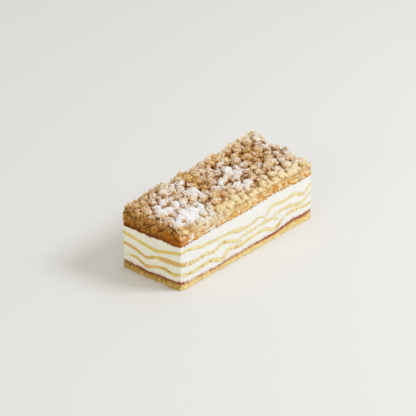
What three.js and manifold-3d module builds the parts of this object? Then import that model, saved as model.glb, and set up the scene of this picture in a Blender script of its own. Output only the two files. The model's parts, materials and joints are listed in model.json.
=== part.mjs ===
// A long block cut from a layered cream cake: shortcrust base, jam, whipped cream with
// three wavy sheets of choux pastry in it, and a choux lid baked under a crust of streusel.
// Units are millimetres, +X runs along the block, +Z is up, and the origin is the middle
// of the underside. The front (-Y) and the left end (-X) are the cut faces with known lines.

import * as THREE from 'three';
import { mergeVertices } from 'three/addons/utils/BufferGeometryUtils.js';
import Module from 'manifold-3d';

const LENGTH = 204;
const WIDTH = 76;
const HALF_LENGTH = LENGTH / 2;
const HALF_WIDTH = WIDTH / 2;

const JAM_THICKNESS = 1.3;
const SHEET_THICKNESS = 1.6;
const LID_THICKNESS = 4.6;
const LAYER_GAP = 0.1;
const BASE_EDGE_INSET = 0.8;
const BASE_EDGE_HEIGHT = 1.4;

// Middle lines of the layers: [x, z] along the front face, from the left end to the right,
// and [y, z] along the left end, from the back to the front. farCorner is the height at the
// back right corner, and swell is how far the line rises and falls along the right end.
const JAM_LINE = {
  front: [[-102, 7.4], [-95, 6.2], [-70, 5.8], [-48, 4.5], [-30, 6.3], [0, 6.2], [42, 5.2],
    [55, 7.4], [70, 9.2], [85, 8.4], [102, 9.5]],
  left: [[38, 8.3], [20, 6.8], [5, 5.4], [-10, 6.1], [-25, 6.3], [-38, 7.4]],
  farCorner: 7.6,
  swell: 0.8,
};
const LOW_SHEET_LINE = {
  front: [[-102, 18], [-93, 14.6], [-70, 14.8], [-58, 15.2], [-50, 13.6], [-44, 9.9], [-37, 10.6],
    [-30, 17.2], [-18, 13.9], [0, 15.4], [22, 16.4], [33, 14], [41, 9.6], [50, 13.2], [60, 19.3],
    [72, 19.7], [95, 17.2], [102, 18.2]],
  left: [[38, 15.6], [20, 17], [7, 11.4], [-6, 15.6], [-18, 17.2], [-28, 14.9], [-38, 18]],
  farCorner: 15.5,
  swell: 2.2,
};
const MIDDLE_SHEET_LINE = {
  front: [[-102, 29.5], [-90, 25.4], [-75, 24.5], [-64, 26], [-52, 22.7], [-43, 27.8], [-30, 25.5],
    [-17, 20.9], [-8, 23.2], [10, 23.6], [30, 24.3], [42, 24.2], [50, 27.4], [66, 27.4],
    [78, 23.8], [90, 24.9], [102, 30.6]],
  left: [[38, 28.6], [20, 25.8], [6, 21.4], [-4, 26.3], [-15, 27.4], [-38, 29.5]],
  farCorner: 26.5,
  swell: 1.8,
};
const HIGH_SHEET_LINE = {
  front: [[-102, 41], [-90, 41], [-70, 36.8], [-50, 35.3], [-30, 34.5], [-12, 31.1], [5, 30.3],
    [16, 33.2], [28, 30.6], [35, 37.6], [46, 38], [55, 36.2], [67, 38], [78, 36.6],
    [88, 32.2], [95, 35.4], [102, 40.4]],
  left: [[38, 39.9], [20, 37], [0, 34], [-10, 33.8], [-20, 36.8], [-38, 41]],
  farCorner: 37.5,
  swell: 1.5,
};
const LID_UNDERSIDE_LINE = {
  front: [[-102, 47.5], [-60, 48.6], [-20, 48.4], [20, 48.4], [38, 50.1], [60, 50.4],
    [75, 49.6], [102, 49.6]],
  left: [[38, 46.9], [0, 47], [-38, 47.5]],
  farCorner: 49,
  swell: 0.4,
};
const BACK_FOLLOWS_FRONT = 0.75;

// Steps along the long and short sides of the plan, for the layers and for the plainer core
// under the streusel, and how far in the inner ring of each lies.
const LAYER_STEPS = { long: 34, short: 12, inset: 12 };
const CORE_STEPS = { long: 10, short: 4, inset: 12 };

// Height of the streusel's crest. It climbs from the front edge to a plateau and again
// towards the back, with a bank across the back right and a worn back left corner. A span
// is the stretch of x or y, in millimetres, over which such a change happens.
const FRONT_CREST = 65.5;
const PLATEAU_CREST = 70.5;
const BACK_CREST = 74;
const FRONT_CLIMB_SPAN = [-HALF_WIDTH, -12];
const BACK_CLIMB_SPAN = [10, HALF_WIDTH];
const BANK_RISE = 4.8;
const BANK_SPAN_X = [50, 57];
const BANK_SPAN_Y = [0, 27];
const WORN_DROP = 8;
const WORN_SPAN_X = [-HALF_LENGTH, -88];
const WORN_SPAN_Y = [18, HALF_WIDTH];
const ROLL = { height: 1.1, alongX: 11, alongY: 9, twist: 37 };

// The lumps that make up the streusel, and the plain core that they are fused to.
const CORE_DEPTH = 4.2;
const LUMP_PITCH = 10.1;
const LUMP_RADIUS_MIN = 4.7;
const LUMP_RADIUS_MAX = 6.1;
const LUMP_FLATNESS = 0.82;
const LUMP_ROUGHNESS = 0.14;
const LUMP_LIFT = 1.3;
const LUMP_SHAKE = 0.25;
const LUMP_OVERHANG = 1;
const RANDOM_SEED = 20;
const CORE_FOOT = 45;
const CUTTING_BLOCK_TOP = 95;
const MERGE_DISTANCE = 1e-4;

function seededRandom(seed) {
  let state = seed;
  return () => {
    state = (state + 0x6d2b79f5) | 0;
    let mixed = Math.imul(state ^ (state >>> 15), 1 | state);
    mixed = (mixed + Math.imul(mixed ^ (mixed >>> 7), 61 | mixed)) ^ mixed;
    return ((mixed ^ (mixed >>> 14)) >>> 0) / 4294967296;
  };
}

// A smooth curve through points sorted by their first value, level beyond its ends.
function smoothLine(points) {
  const sorted = [...points].sort((a, b) => a[0] - b[0]);
  const last = sorted.length - 1;
  const slope = (i) => {
    const before = sorted[Math.max(i - 1, 0)];
    const after = sorted[Math.min(i + 1, last)];
    return (after[1] - before[1]) / (after[0] - before[0]);
  };
  return (at) => {
    if (at <= sorted[0][0]) return sorted[0][1];
    if (at >= sorted[last][0]) return sorted[last][1];
    const i = sorted.findIndex((point, k) => k < last && at < sorted[k + 1][0]);
    const span = sorted[i + 1][0] - sorted[i][0];
    const t = (at - sorted[i][0]) / span;
    const rise = sorted[i + 1][1] - sorted[i][1];
    const eased = rise * t * t * (3 - 2 * t);
    const leaving = slope(i) * span * t * (1 - t) * (1 - t);
    const arriving = slope(i + 1) * span * t * t * (1 - t);
    return sorted[i][1] + eased + leaving - arriving;
  };
}

// The height of a layer over the whole plan, from its front and left lines. The back line
// is the front one turned end for end and calmed, and all four meet at the corners.
function layerSurface({ front, left, farCorner, swell }) {
  const frontLine = smoothLine(front);
  const leftLine = smoothLine(left);
  const nearRight = frontLine(HALF_LENGTH);
  const farLeft = leftLine(HALF_WIDTH);
  const rawBack = (x) => frontLine(-x) * BACK_FOLLOWS_FRONT;
  const backLine = (x) => {
    const u = x / LENGTH + 0.5;
    const leftMiss = farLeft - rawBack(-HALF_LENGTH);
    const rightMiss = farCorner - rawBack(HALF_LENGTH);
    return rawBack(x) + leftMiss * (1 - u) + rightMiss * u;
  };
  const rightLine = (y) => {
    const v = y / WIDTH + 0.5;
    return nearRight * (1 - v) + farCorner * v + swell * Math.sin(2 * Math.PI * v);
  };
  const nearLeft = frontLine(-HALF_LENGTH);
  return (x, y) => {
    const u = x / LENGTH + 0.5;
    const v = y / WIDTH + 0.5;
    const frontToBack = frontLine(x) * (1 - v) + backLine(x) * v;
    const leftToRight = leftLine(y) * (1 - u) + rightLine(y) * u;
    const corners = (nearLeft * (1 - u) + nearRight * u) * (1 - v)
      + (farLeft * (1 - u) + farCorner * u) * v;
    return frontToBack + leftToRight - corners;
  };
}

function raised(surface, by) {
  return (x, y) => surface(x, y) + by;
}

// One ring of plan points, anticlockwise from the front left corner.
function planRing(inset, longSteps, shortSteps) {
  const x = HALF_LENGTH - inset;
  const y = HALF_WIDTH - inset;
  const corners = [[-x, -y], [x, -y], [x, y], [-x, y]];
  const ring = [];
  corners.forEach((corner, side) => {
    const next = corners[(side + 1) % 4];
    const steps = side % 2 === 0 ? longSteps : shortSteps;
    for (let i = 0; i < steps; i += 1) {
      const t = i / steps;
      ring.push([corner[0] + (next[0] - corner[0]) * t, corner[1] + (next[1] - corner[1]) * t]);
    }
  });
  return ring;
}

// The plan as a net of triangles: a rim, an inner ring with half its points, and the middle.
function planNet({ long, short, inset }) {
  const rim = planRing(0, long, short);
  const ring = planRing(inset, long / 2, short / 2);
  const rimCount = rim.length;
  const triangles = [];
  for (let i = 0; i < ring.length; i += 1) {
    const a = 2 * i;
    const b = a + 1;
    const c = (a + 2) % rimCount;
    const p = rimCount + i;
    const q = rimCount + ((i + 1) % ring.length);
    triangles.push([a, b, p], [b, c, q], [b, q, p]);
  }
  const middle = ring.map(([x, y]) => new THREE.Vector2(x, y));
  for (const corners of THREE.ShapeUtils.triangulateShape(middle, [])) {
    triangles.push(corners.map((corner) => rimCount + corner));
  }
  return { points: [...rim, ...ring], triangles, rimCount };
}

const LAYER_PLAN = planNet(LAYER_STEPS);
const CORE_PLAN = planNet(CORE_STEPS);

// A slab of the plan between two height surfaces. A toe draws its lower edge in.
function slabGeometry(plan, lower, upper, toe = null) {
  const { points, triangles, rimCount } = plan;
  const count = points.length;
  const positions = [];
  const indices = [];
  const toeInset = toe ? toe.inset : 0;
  const shrinkX = 1 - toeInset / HALF_LENGTH;
  const shrinkY = 1 - toeInset / HALF_WIDTH;
  for (const [x, y] of points) positions.push(x, y, upper(x, y));
  for (const [x, y] of points) positions.push(x * shrinkX, y * shrinkY, lower(x, y));
  for (const [a, b, c] of triangles) {
    indices.push(a, b, c);
    indices.push(count + c, count + b, count + a);
  }
  const walls = [[0, count]];
  if (toe) {
    const middleStart = 2 * count;
    points.slice(0, rimCount).forEach(([x, y]) => positions.push(x, y, lower(x, y) + toe.height));
    walls.splice(0, 1, [0, middleStart], [middleStart, count]);
  }
  for (const [top, bottom] of walls) {
    for (let i = 0; i < rimCount; i += 1) {
      const j = (i + 1) % rimCount;
      indices.push(top + i, bottom + i, bottom + j, top + i, bottom + j, top + j);
    }
  }
  const geometry = new THREE.BufferGeometry();
  geometry.setAttribute('position', new THREE.Float32BufferAttribute(positions, 3));
  geometry.setIndex(indices);
  geometry.computeVertexNormals();
  return geometry;
}

function smoothStep([from, to], at) {
  return THREE.MathUtils.smoothstep(at, from, to);
}

function crestHeight(x, y) {
  const frontClimb = (PLATEAU_CREST - FRONT_CREST) * smoothStep(FRONT_CLIMB_SPAN, y);
  const backClimb = (BACK_CREST - PLATEAU_CREST) * smoothStep(BACK_CLIMB_SPAN, y);
  const bank = BANK_RISE * smoothStep(BANK_SPAN_X, x) * smoothStep(BANK_SPAN_Y, y);
  const worn = WORN_DROP * (1 - smoothStep(WORN_SPAN_X, x)) * smoothStep(WORN_SPAN_Y, y);
  const roll = ROLL.height * Math.sin(x / ROLL.alongX) * Math.cos(y / ROLL.alongY + x / ROLL.twist);
  return FRONT_CREST + frontClimb + backClimb + bank - worn + roll;
}

const wasm = await Module();
wasm.setup();

function solidFrom(geometry) {
  const bare = geometry.clone();
  bare.deleteAttribute('normal');
  if (bare.getAttribute('uv')) bare.deleteAttribute('uv');
  const merged = mergeVertices(bare, MERGE_DISTANCE);
  const mesh = new wasm.Mesh({
    numProp: 3,
    vertProperties: new Float32Array(merged.getAttribute('position').array),
    triVerts: new Uint32Array(merged.getIndex().array),
  });
  return new wasm.Manifold(mesh);
}

function geometryFrom(solid) {
  const mesh = solid.getMesh();
  const geometry = new THREE.BufferGeometry();
  geometry.setAttribute('position', new THREE.Float32BufferAttribute(mesh.vertProperties, 3));
  geometry.setIndex(Array.from(mesh.triVerts));
  geometry.computeVertexNormals();
  return geometry;
}

// The largest closed shell, so that air trapped between lumps is filled and scraps drop off.
function outerShell(solid) {
  const shells = solid.decompose();
  return shells.reduce((best, shell) => (shell.volume() > best.volume() ? shell : best));
}

// One lump of streusel: a small rough ball with twenty sides, flattened and turned.
function lumpGeometry(random, radius, place) {
  const lump = new THREE.IcosahedronGeometry(radius, 0);
  lump.deleteAttribute('normal');
  lump.deleteAttribute('uv');
  const shared = mergeVertices(lump, MERGE_DISTANCE);
  const position = shared.getAttribute('position');
  const corner = new THREE.Vector3();
  for (let i = 0; i < position.count; i += 1) {
    corner.fromBufferAttribute(position, i);
    corner.multiplyScalar(1 + LUMP_ROUGHNESS * (2 * random() - 1));
    position.setXYZ(i, corner.x, corner.y, corner.z);
  }
  const turn = new THREE.Euler(Math.PI * random(), Math.PI * random(), Math.PI * random());
  shared.applyMatrix4(new THREE.Matrix4().makeRotationFromEuler(turn));
  shared.scale(1, 1, LUMP_FLATNESS);
  shared.translate(place.x, place.y, place.z);
  return shared;
}

// Lumps on a shaken triangular grid that reaches a little past the cut faces.
function lumpSolids() {
  const random = seededRandom(RANDOM_SEED);
  const rowPitch = LUMP_PITCH * Math.sqrt(0.75);
  const columns = Math.ceil(HALF_LENGTH / LUMP_PITCH);
  const rows = Math.ceil(HALF_WIDTH / rowPitch);
  const lumps = [];
  for (let row = -rows; row <= rows; row += 1) {
    const stagger = row % 2 === 0 ? 0 : 0.5;
    for (let column = -columns; column <= columns; column += 1) {
      const shakeX = LUMP_SHAKE * (2 * random() - 1);
      const shakeY = LUMP_SHAKE * (2 * random() - 1);
      const size = random();
      const x = (column + stagger + shakeX) * LUMP_PITCH;
      const y = (row + shakeY) * rowPitch;
      const radius = THREE.MathUtils.lerp(LUMP_RADIUS_MIN, LUMP_RADIUS_MAX, size);
      const lift = LUMP_LIFT * (2 * random() - 1);
      const z = crestHeight(x, y) - radius * LUMP_FLATNESS + lift;
      const pastEnd = Math.abs(x) > HALF_LENGTH + LUMP_OVERHANG;
      const pastSide = Math.abs(y) > HALF_WIDTH + LUMP_OVERHANG;
      if (pastEnd || pastSide) continue;
      lumps.push(solidFrom(lumpGeometry(random, radius, { x, y, z })));
    }
  }
  return lumps;
}

function streuselGeometry(lidTop) {
  const core = solidFrom(slabGeometry(CORE_PLAN, () => CORE_FOOT, raised(crestHeight, -CORE_DEPTH)));
  const block = solidFrom(slabGeometry(LAYER_PLAN, lidTop, () => CUTTING_BLOCK_TOP));
  let heap = core;
  for (const lump of lumpSolids()) heap = heap.add(lump);
  return geometryFrom(outerShell(heap.intersect(block)));
}

function material(color, roughness) {
  return new THREE.MeshStandardMaterial({ color, roughness, metalness: 0 });
}

const SHORTCRUST = material('#dcb676', 0.85);
const JAM = material('#8c3a34', 0.3);
const CREAM = material('#f3f1ea', 0.55);
const CHOUX = material('#e6c98c', 0.8);
const BAKED_CHOUX = material('#c98f45', 0.85);
const STREUSEL = material('#d3a765', 0.9);

function node(name, geometry, finish) {
  const mesh = new THREE.Mesh(geometry, finish);
  mesh.name = name;
  return mesh;
}

function layeredCake() {
  const cake = new THREE.Group();
  const addSlab = (name, lower, upper, finish, toe) => {
    const top = raised(upper, -LAYER_GAP);
    cake.add(node(name, slabGeometry(LAYER_PLAN, lower, top, toe), finish));
    return upper;
  };
  const jam = layerSurface(JAM_LINE);
  const sheets = [LOW_SHEET_LINE, MIDDLE_SHEET_LINE, HIGH_SHEET_LINE].map(layerSurface);
  const lidUnderside = layerSurface(LID_UNDERSIDE_LINE);
  const lidTop = raised(lidUnderside, LID_THICKNESS);

  const toe = { inset: BASE_EDGE_INSET, height: BASE_EDGE_HEIGHT };
  let level = addSlab('shortcrust_base', () => 0, raised(jam, -JAM_THICKNESS / 2), SHORTCRUST, toe);
  level = addSlab('jam_layer', level, raised(jam, JAM_THICKNESS / 2), JAM);
  sheets.forEach((sheet, i) => {
    const under = raised(sheet, -SHEET_THICKNESS / 2);
    level = addSlab(`cream_${i + 1}`, level, under, CREAM);
    level = addSlab(`choux_sheet_${i + 1}`, level, raised(sheet, SHEET_THICKNESS / 2), CHOUX);
  });
  level = addSlab(`cream_${sheets.length + 1}`, level, lidUnderside, CREAM);
  level = addSlab('top_choux_sheet', level, lidTop, BAKED_CHOUX);
  cake.add(node('streusel_topping', streuselGeometry(level), STREUSEL));
  return cake;
}

export default layeredCake();
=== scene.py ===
"""Looks of a long block of layered cream cake: shortcrust, jam, whipped cream with three wavy
sheets of choux pastry, and a browned choux lid under streusel lumps dusted with icing sugar.

Lengths in this script are millimetres, turned into metres where a mesh is made. The heights of
all layers and of the streusel's crest are read from the frame's own solids."""

import json
import math

import bmesh
import bpy
import numpy as np
from mathutils import Matrix, Vector
from mathutils.bvhtree import BVHTree
from mathutils.kdtree import KDTree


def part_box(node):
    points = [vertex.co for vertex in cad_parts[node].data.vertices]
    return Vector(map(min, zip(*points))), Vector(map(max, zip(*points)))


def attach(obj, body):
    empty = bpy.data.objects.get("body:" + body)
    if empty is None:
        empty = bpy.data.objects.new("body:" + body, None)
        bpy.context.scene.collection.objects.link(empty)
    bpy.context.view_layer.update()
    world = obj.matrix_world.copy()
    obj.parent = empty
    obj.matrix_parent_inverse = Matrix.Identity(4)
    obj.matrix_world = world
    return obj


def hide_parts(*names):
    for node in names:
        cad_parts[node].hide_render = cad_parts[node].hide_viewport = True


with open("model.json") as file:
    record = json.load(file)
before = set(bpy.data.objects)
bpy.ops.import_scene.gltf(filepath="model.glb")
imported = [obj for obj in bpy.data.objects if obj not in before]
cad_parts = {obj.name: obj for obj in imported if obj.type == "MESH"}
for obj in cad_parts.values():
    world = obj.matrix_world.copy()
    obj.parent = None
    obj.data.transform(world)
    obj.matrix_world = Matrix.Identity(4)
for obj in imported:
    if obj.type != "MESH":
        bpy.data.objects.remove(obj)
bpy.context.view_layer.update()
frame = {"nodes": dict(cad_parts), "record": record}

MM = 0.001
BODY = "root"

# Camera, fitted to the corners of the block. The focal length is for a 416 pixel frame.
FRAME_PIXELS = 416
FOCAL_PIXELS = 2020
SENSOR_WIDTH = 36
CAMERA_ELEVATION = 27.59
CAMERA_AZIMUTH = -49.256
CAMERA_DISTANCE = 2035.6
CAMERA_TARGET = (0, 0, 35)
CAMERA_SIDE = -11.4
CAMERA_RISE = 3.0

# Light: a soft warm room, a large, slightly cool lamp in front to the right and a weak one on
# the left. Each lamp: the direction that it stands in, its power and its colour.
ROOM_COLOR = (1.0, 0.978, 0.91)
ROOM_STRENGTH = 0.67
LAMP_DISTANCE = 2.2
LAMP_SIZE = 0.9
LAMPS = [
    ((0.30, -0.42, 0.50), 23, (0.965, 0.985, 1.06)),
    ((-0.80, -0.10, 0.25), 5, (1.0, 0.98, 0.90)),
]
FLOOR_COLOR = (0.800, 0.797, 0.782)

# Layers from the bottom, as in the frame. The streusel lies on the last of them.
LAYERS = [
    "shortcrust_base", "jam_layer", "cream_1", "choux_sheet_1", "cream_2", "choux_sheet_2",
    "cream_3", "choux_sheet_3", "cream_4", "top_choux_sheet",
]
STREUSEL = "streusel_topping"
LID_UNDERSIDE = LAYERS.index("top_choux_sheet")
LID_TOP = len(LAYERS)

HALF_LENGTH, HALF_WIDTH = (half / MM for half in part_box("cream_4")[1][:2])
LENGTH = 2 * HALF_LENGTH
WIDTH = 2 * HALF_WIDTH
PERIMETER = 2 * (LENGTH + WIDTH)

# Net of a layer: points round the rim, how far apart its rows are, and its inner rings.
RIM_POINTS = 1024
ROW_PITCH = 0.6
CORNER_RADIUS = 1.8
RING_INSETS = [1.2, 3, 8, 18, 30]
LINE_SMOOTHING = 2.4

# How far apart the points of a net over the plan are.
PLAN_PITCH = 3.0

# Whole-face waviness of the cut sides, and the fine waviness of the layer lines from the foot
# up: how much and of what size. The last two lines are the lid's.
CUT_WOBBLE = 0.5
CUT_WOBBLE_SIZE = 28
LINE_WOBBLES = [(0, 5), (1.4, 3.4), (2.6, 3.2)] + [(1.2, 3.6)] * 6 + [(2.3, 4.2), (2.4, 6)]

# Streusel: lumps strewn under the crest, fused, then cut by the block's own sides. Each kind:
# how close they lie, their smallest and largest radius, how deep they sit, how much that varies,
# how far they turn out of line with the block's width, and how long they are for their girth.
LUMP_KINDS = 12
BIG_LUMPS = (8.8, (5.1, 6.9), 5.0, 1.2, math.pi, 1.0)
SMALL_LUMPS = (5.6, (2.8, 4.1), 5.7, 0.9, math.pi, 1.0)
EDGE_LUMPS = (8.4, (3.8, 7.3), 4.9, 1.5, 1.5, 1.35)
EDGE_STRIP = 6

# The core that the lumps are fused to: how far below their tops it lies at places from the
# left, how far at the rim, how far in that reaches, and the height of its flat underside.
CORE_DEPTHS = ([-70, -30, 40], [4.2, 5.4, 6.6])
CORE_RIM_DEPTH = 3.0
CORE_SHOULDER = 11
CORE_FOOT = 44

# The net that fuses the lumps, the most triangles kept, and the block that cuts the sides.
FUSING_VOXEL = 0.52
STREUSEL_TRIANGLES = 190000
CUT_RIM_POINTS = 768
CUT_ROW_PITCH = 0.75
CUT_TOP = 95

# How much higher than its solid everything above the foot lies.
RAISED = 0.55

# How far the choux tints the cream beside it.
EDGE_TINT = 0.8

# Crumbs that lie loose on the lumps, as one more kind.
LOOSE_CRUMBS = (5.5, (0.4, 0.95), 0, 0.15, math.pi, 1.0)


# Random fields

def hashed(cells, seed):
    """A fixed random value from 0 to 1 for each whole-numbered cell."""
    keys = cells.astype(np.int64) + 100000
    mixed = keys[..., 0] * 73856093 ^ keys[..., 1] * 19349663 ^ keys[..., 2] * 83492791
    mixed = (mixed ^ (seed * 2654435761)) & 0xFFFFFFFF
    mixed = ((mixed ^ (mixed >> 15)) * 2246822519) & 0xFFFFFFFF
    mixed = ((mixed ^ (mixed >> 13)) * 3266489917) & 0xFFFFFFFF
    return ((mixed ^ (mixed >> 16)) & 0xFFFFFF) / 0xFFFFFF


def soft_noise(points, size, seed):
    """Smooth random values from 0 to 1, with features of about that size."""
    scaled = points / size
    cells = np.floor(scaled)
    part = scaled - cells
    part = part * part * (3 - 2 * part)
    total = 0
    for corner in np.ndindex(2, 2, 2):
        near = np.array(corner)
        weight = np.prod(np.where(near == 1, part, 1 - part), axis=-1)
        total = total + weight * hashed(cells + near, seed)
    return total


def layered_noise(points, size, seed, octaves=3):
    total, reach = 0, 0
    for octave in range(octaves):
        weight = 0.5 ** octave
        total = total + weight * soft_noise(points, size / 2 ** octave, seed + 17 * octave)
        reach += weight
    return total / reach


def cell_lumps(points, size, seed):
    """Distance, in cells, to the nearest of one random seat in each cell, and its own value."""
    scaled = points / size
    cells = np.floor(scaled)
    nearest = np.full(len(points), 9.0)
    value = np.zeros(len(points))
    for step in np.ndindex(3, 3, 3):
        cell = cells + np.array(step) - 1
        seat = np.stack([hashed(cell, seed + axis) for axis in (1, 2, 3)], -1)
        distance = np.linalg.norm(cell + seat - scaled, axis=-1)
        closer = distance < nearest
        nearest = np.where(closer, distance, nearest)
        value = np.where(closer, hashed(cell, seed + 4), value)
    return nearest, value


def smooth_step(low, high, value):
    t = np.clip((value - low) / (high - low), 0, 1)
    return t * t * (3 - 2 * t)


def pores(points, size, seed, share):
    """1 in the middle of small round pores, 0 between them."""
    return 1 - smooth_step(0.5 * share, share, cell_lumps(points, size, seed)[0])


# Reading and painting meshes

def vectors(items, name):
    """A vector of each of a mesh's points or faces, as rows."""
    flat = np.empty(len(items) * 3, np.float32)
    items.foreach_get(name, flat)
    return flat.reshape(-1, 3).astype(float)


def mesh_points(piece):
    """The points of a mesh, in millimetres."""
    return vectors(piece.data.vertices, "co") / MM


def mesh_normals(piece):
    return vectors(piece.data.vertex_normals, "vector")


def edge_ends(mesh):
    """The numbers of the points at the two ends of each edge."""
    ends = np.empty(len(mesh.edges) * 2, np.int32)
    mesh.edges.foreach_get("vertices", ends)
    return ends.reshape(-1, 2).T


def paint(piece, **numbers):
    """Stores numbers at the points of the mesh, by name, for the piece's material to read."""
    for name, values in numbers.items():
        layer = piece.data.attributes.new(name, "FLOAT", "POINT")
        layer.data.foreach_set("value", np.full(len(piece.data.vertices), values, np.float32))


# Outline and layer heights

def front(x):
    """Place on the rim, measured anticlockwise from the near corner, of a point in front."""
    return HALF_LENGTH + x


def left(y):
    """Place on the rim of a point on the left end."""
    return 2 * LENGTH + WIDTH + HALF_WIDTH - y


def rim_place(x, y):
    """The place on the rim nearest to each point."""
    gaps = [y + HALF_WIDTH, HALF_LENGTH - x, HALF_WIDTH - y, x + HALF_LENGTH]
    side = np.argmin(gaps, axis=0)
    places = [front(x), LENGTH + HALF_WIDTH + y, LENGTH + WIDTH + HALF_LENGTH - x, left(y)]
    return np.choose(side, places) % PERIMETER


def outline(place):
    """Points of the outline with its corners rounded, and the directions that face out."""
    place = np.asarray(place, float) % PERIMETER
    lengths = [LENGTH, WIDTH, LENGTH, WIDTH]
    starts = np.cumsum([0] + lengths[:3])
    corners = np.array([[-1, -1], [1, -1], [1, 1], [-1, 1]]) * [HALF_LENGTH, HALF_WIDTH]
    facing = np.array([[0, -1], [1, 0], [0, 1], [-1, 0]], float)
    side = np.searchsorted(starts, place, side="right") - 1
    along = place - starts[side]
    heading = np.stack([-facing[side][:, 1], facing[side][:, 0]], -1)
    points = corners[side] + heading * along[:, None]
    normals = facing[side]
    left_over = np.array(lengths)[side] - along
    for near_end, distance, turn in ((0, along, -1), (1, left_over, 1)):
        inside = distance < CORNER_RADIUS
        corner = corners[(side + near_end) % 4]
        centre = corner - np.sign(corner) * CORNER_RADIUS
        angle = (1 - distance / CORNER_RADIUS) * math.pi / 4
        direction = facing[side] * np.cos(angle)[:, None] + turn * heading * np.sin(angle)[:, None]
        points = np.where(inside[:, None], centre + direction * CORNER_RADIUS, points)
        normals = np.where(inside[:, None], direction, normals)
    return points, normals


def depth_inside(points):
    """How far inside the rounded outline each point lies."""
    half = np.array([HALF_LENGTH, HALF_WIDTH])
    past = np.abs(points[:, :2]) - (half - CORNER_RADIUS)
    beyond = np.linalg.norm(np.maximum(past, 0), axis=1)
    return CORNER_RADIUS - beyond - np.minimum(past.max(axis=1), 0)


RIM = np.arange(RIM_POINTS) * PERIMETER / RIM_POINTS


def at_rim(line, place):
    return np.interp(place, RIM, line, period=PERIMETER)


def rim_table(entries):
    """Values given at places on the rim, filled in for the whole of it."""
    places, values = zip(*sorted((place % PERIMETER, value) for place, value in entries))
    return np.interp(RIM, places, values, period=PERIMETER)


def upper_rim(name):
    """The height of a frame solid's upper edge at each point of the rim, gently smoothed."""
    points = mesh_points(frame["nodes"][name])
    near = 0.02
    on_rim = np.abs(np.abs(points[:, 0]) - HALF_LENGTH) < near
    on_rim |= np.abs(np.abs(points[:, 1]) - HALF_WIDTH) < near
    points = points[on_rim]
    tops = {}
    for place, height in zip(np.round(rim_place(points[:, 0], points[:, 1]), 1), points[:, 2]):
        tops[place] = max(height, tops.get(place, height))
    places = np.array(sorted(tops))
    heights = np.array([tops[place] for place in places])
    line = np.interp(RIM, places, heights, period=PERIMETER)
    steps = range(-12, 13)
    weights = np.exp(-(np.array(steps) * PERIMETER / RIM_POINTS / LINE_SMOOTHING) ** 2)
    weights /= weights.sum()
    return sum(weight * np.roll(line, step) for weight, step in zip(weights, steps))


RIM_LINES = [np.zeros(RIM_POINTS)] + [upper_rim(name) for name in LAYERS]

# How far a layer stands above and below its solid, as millimetres at places on the rim. The
# sheets of choux swell and pinch, and the middle one is thick at the near corner.
SWELLS = {
    "choux_sheet_3": [
        (left(38), 0.4), (left(20), 0.3), (left(0), 0.5), (left(-38), 0.6), (front(-85), 0.4),
        (front(-60), 0.3), (front(-26), 0.3), (front(-18), 1.1), (front(-10), 1.0),
        (front(-3), 0.2), (front(8), 0.0), (front(26), -0.3), (front(33), 0.6), (front(44), 0.5),
        (front(55), 0.3), (front(68), 0.9), (front(77), 0.5), (front(90), 0.5), (front(101), 0.4),
    ],
    "choux_sheet_2": [
        (left(38), 0.3), (left(20), 0.5), (left(6), 0.7), (left(-6), 0.5), (left(-16), 1.2),
        (left(-37), 1.6), (front(-98), 1.5), (front(-92), 0.9), (front(-84), 0.5),
        (front(-70), 0.6), (front(-58), 0.5), (front(-50), 0.4), (front(-40), 0.8),
        (front(-30), 0.3), (front(-19), 0.9), (front(-8), 0.3), (front(4), 0.4),
        (front(14), 0.0), (front(26), 0.3), (front(40), 0.2), (front(60), 0.5), (front(74), 0.9),
        (front(84), 0.6), (front(101), 0.4),
    ],
    "choux_sheet_1": [
        (left(38), -0.3), (left(20), 0.3), (left(7), 0.6), (left(-6), 0.3), (left(-20), 0.7),
        (left(-37), 0.3), (front(-98), 0.5), (front(-88), 0.6), (front(-60), 0.5),
        (front(-46), 1.0), (front(-37), 1.0), (front(-30), 0.7), (front(-18), 0.6),
        (front(-4), 0.6), (front(10), 0.1), (front(30), 0.5), (front(40), 0.9), (front(48), 1.1),
        (front(56), 0.3), (front(66), 0.5), (front(80), 0.3), (front(101), 0.3),
    ],
    "jam_layer": [
        (left(38), 0.3), (left(0), 0.45), (left(-38), 0.6), (front(-96), 0.2), (front(-80), -0.2),
        (front(-71), 0.5), (front(-64), -0.2), (front(-54), 0.5), (front(0), 0.2),
        (front(30), 0.5), (front(60), 0.9), (front(80), 1.1), (front(101), 0.9),
        (LENGTH + HALF_WIDTH, 0.3),
        (LENGTH + WIDTH + HALF_LENGTH, 0.3),
    ],
}

# How far a layer stands above its solid, as millimetres at places on the rim.
LIFTS = {
    "jam_layer": [
        (left(38), -0.5), (left(20), 0.1), (left(0), 0.5), (left(-30), 0.9), (front(-90), -0.1),
        (front(-30), -0.4), (front(-17), -0.9), (front(-4), -0.4), (front(9), 0.0), (front(28), 0.3),
        (front(48), 0.1), (front(61), -0.5), (front(100), -0.5), (LENGTH + HALF_WIDTH, 0),
        (LENGTH + WIDTH + HALF_LENGTH, 0),
    ],
    "choux_sheet_2": [
        (left(-12), -0.2), (left(-30), -1.0), (front(-101), -0.7), (front(-88), 0),
        (LENGTH + HALF_WIDTH, 0),
    ],
    "top_choux_sheet": [
        (left(34), -0.7), (left(0), -0.7), (left(-12), -0.3), (left(-34), -0.8), (front(-90), -0.5),
        (front(-58), -0.4), (front(-40), 0), (front(0), 0.1), (front(14), 0.9), (front(28), 1.0),
        (front(40), 0.8), (front(58), -0.1), (front(98), -0.4),
        (LENGTH + HALF_WIDTH, 0), (LENGTH + WIDTH + HALF_LENGTH, 0),
    ],
}

SHEET_SWELL = 0.3
SWELL_WOBBLE = 0.7
PLAN = np.column_stack([outline(RIM)[0], np.zeros(RIM_POINTS)])

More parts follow.
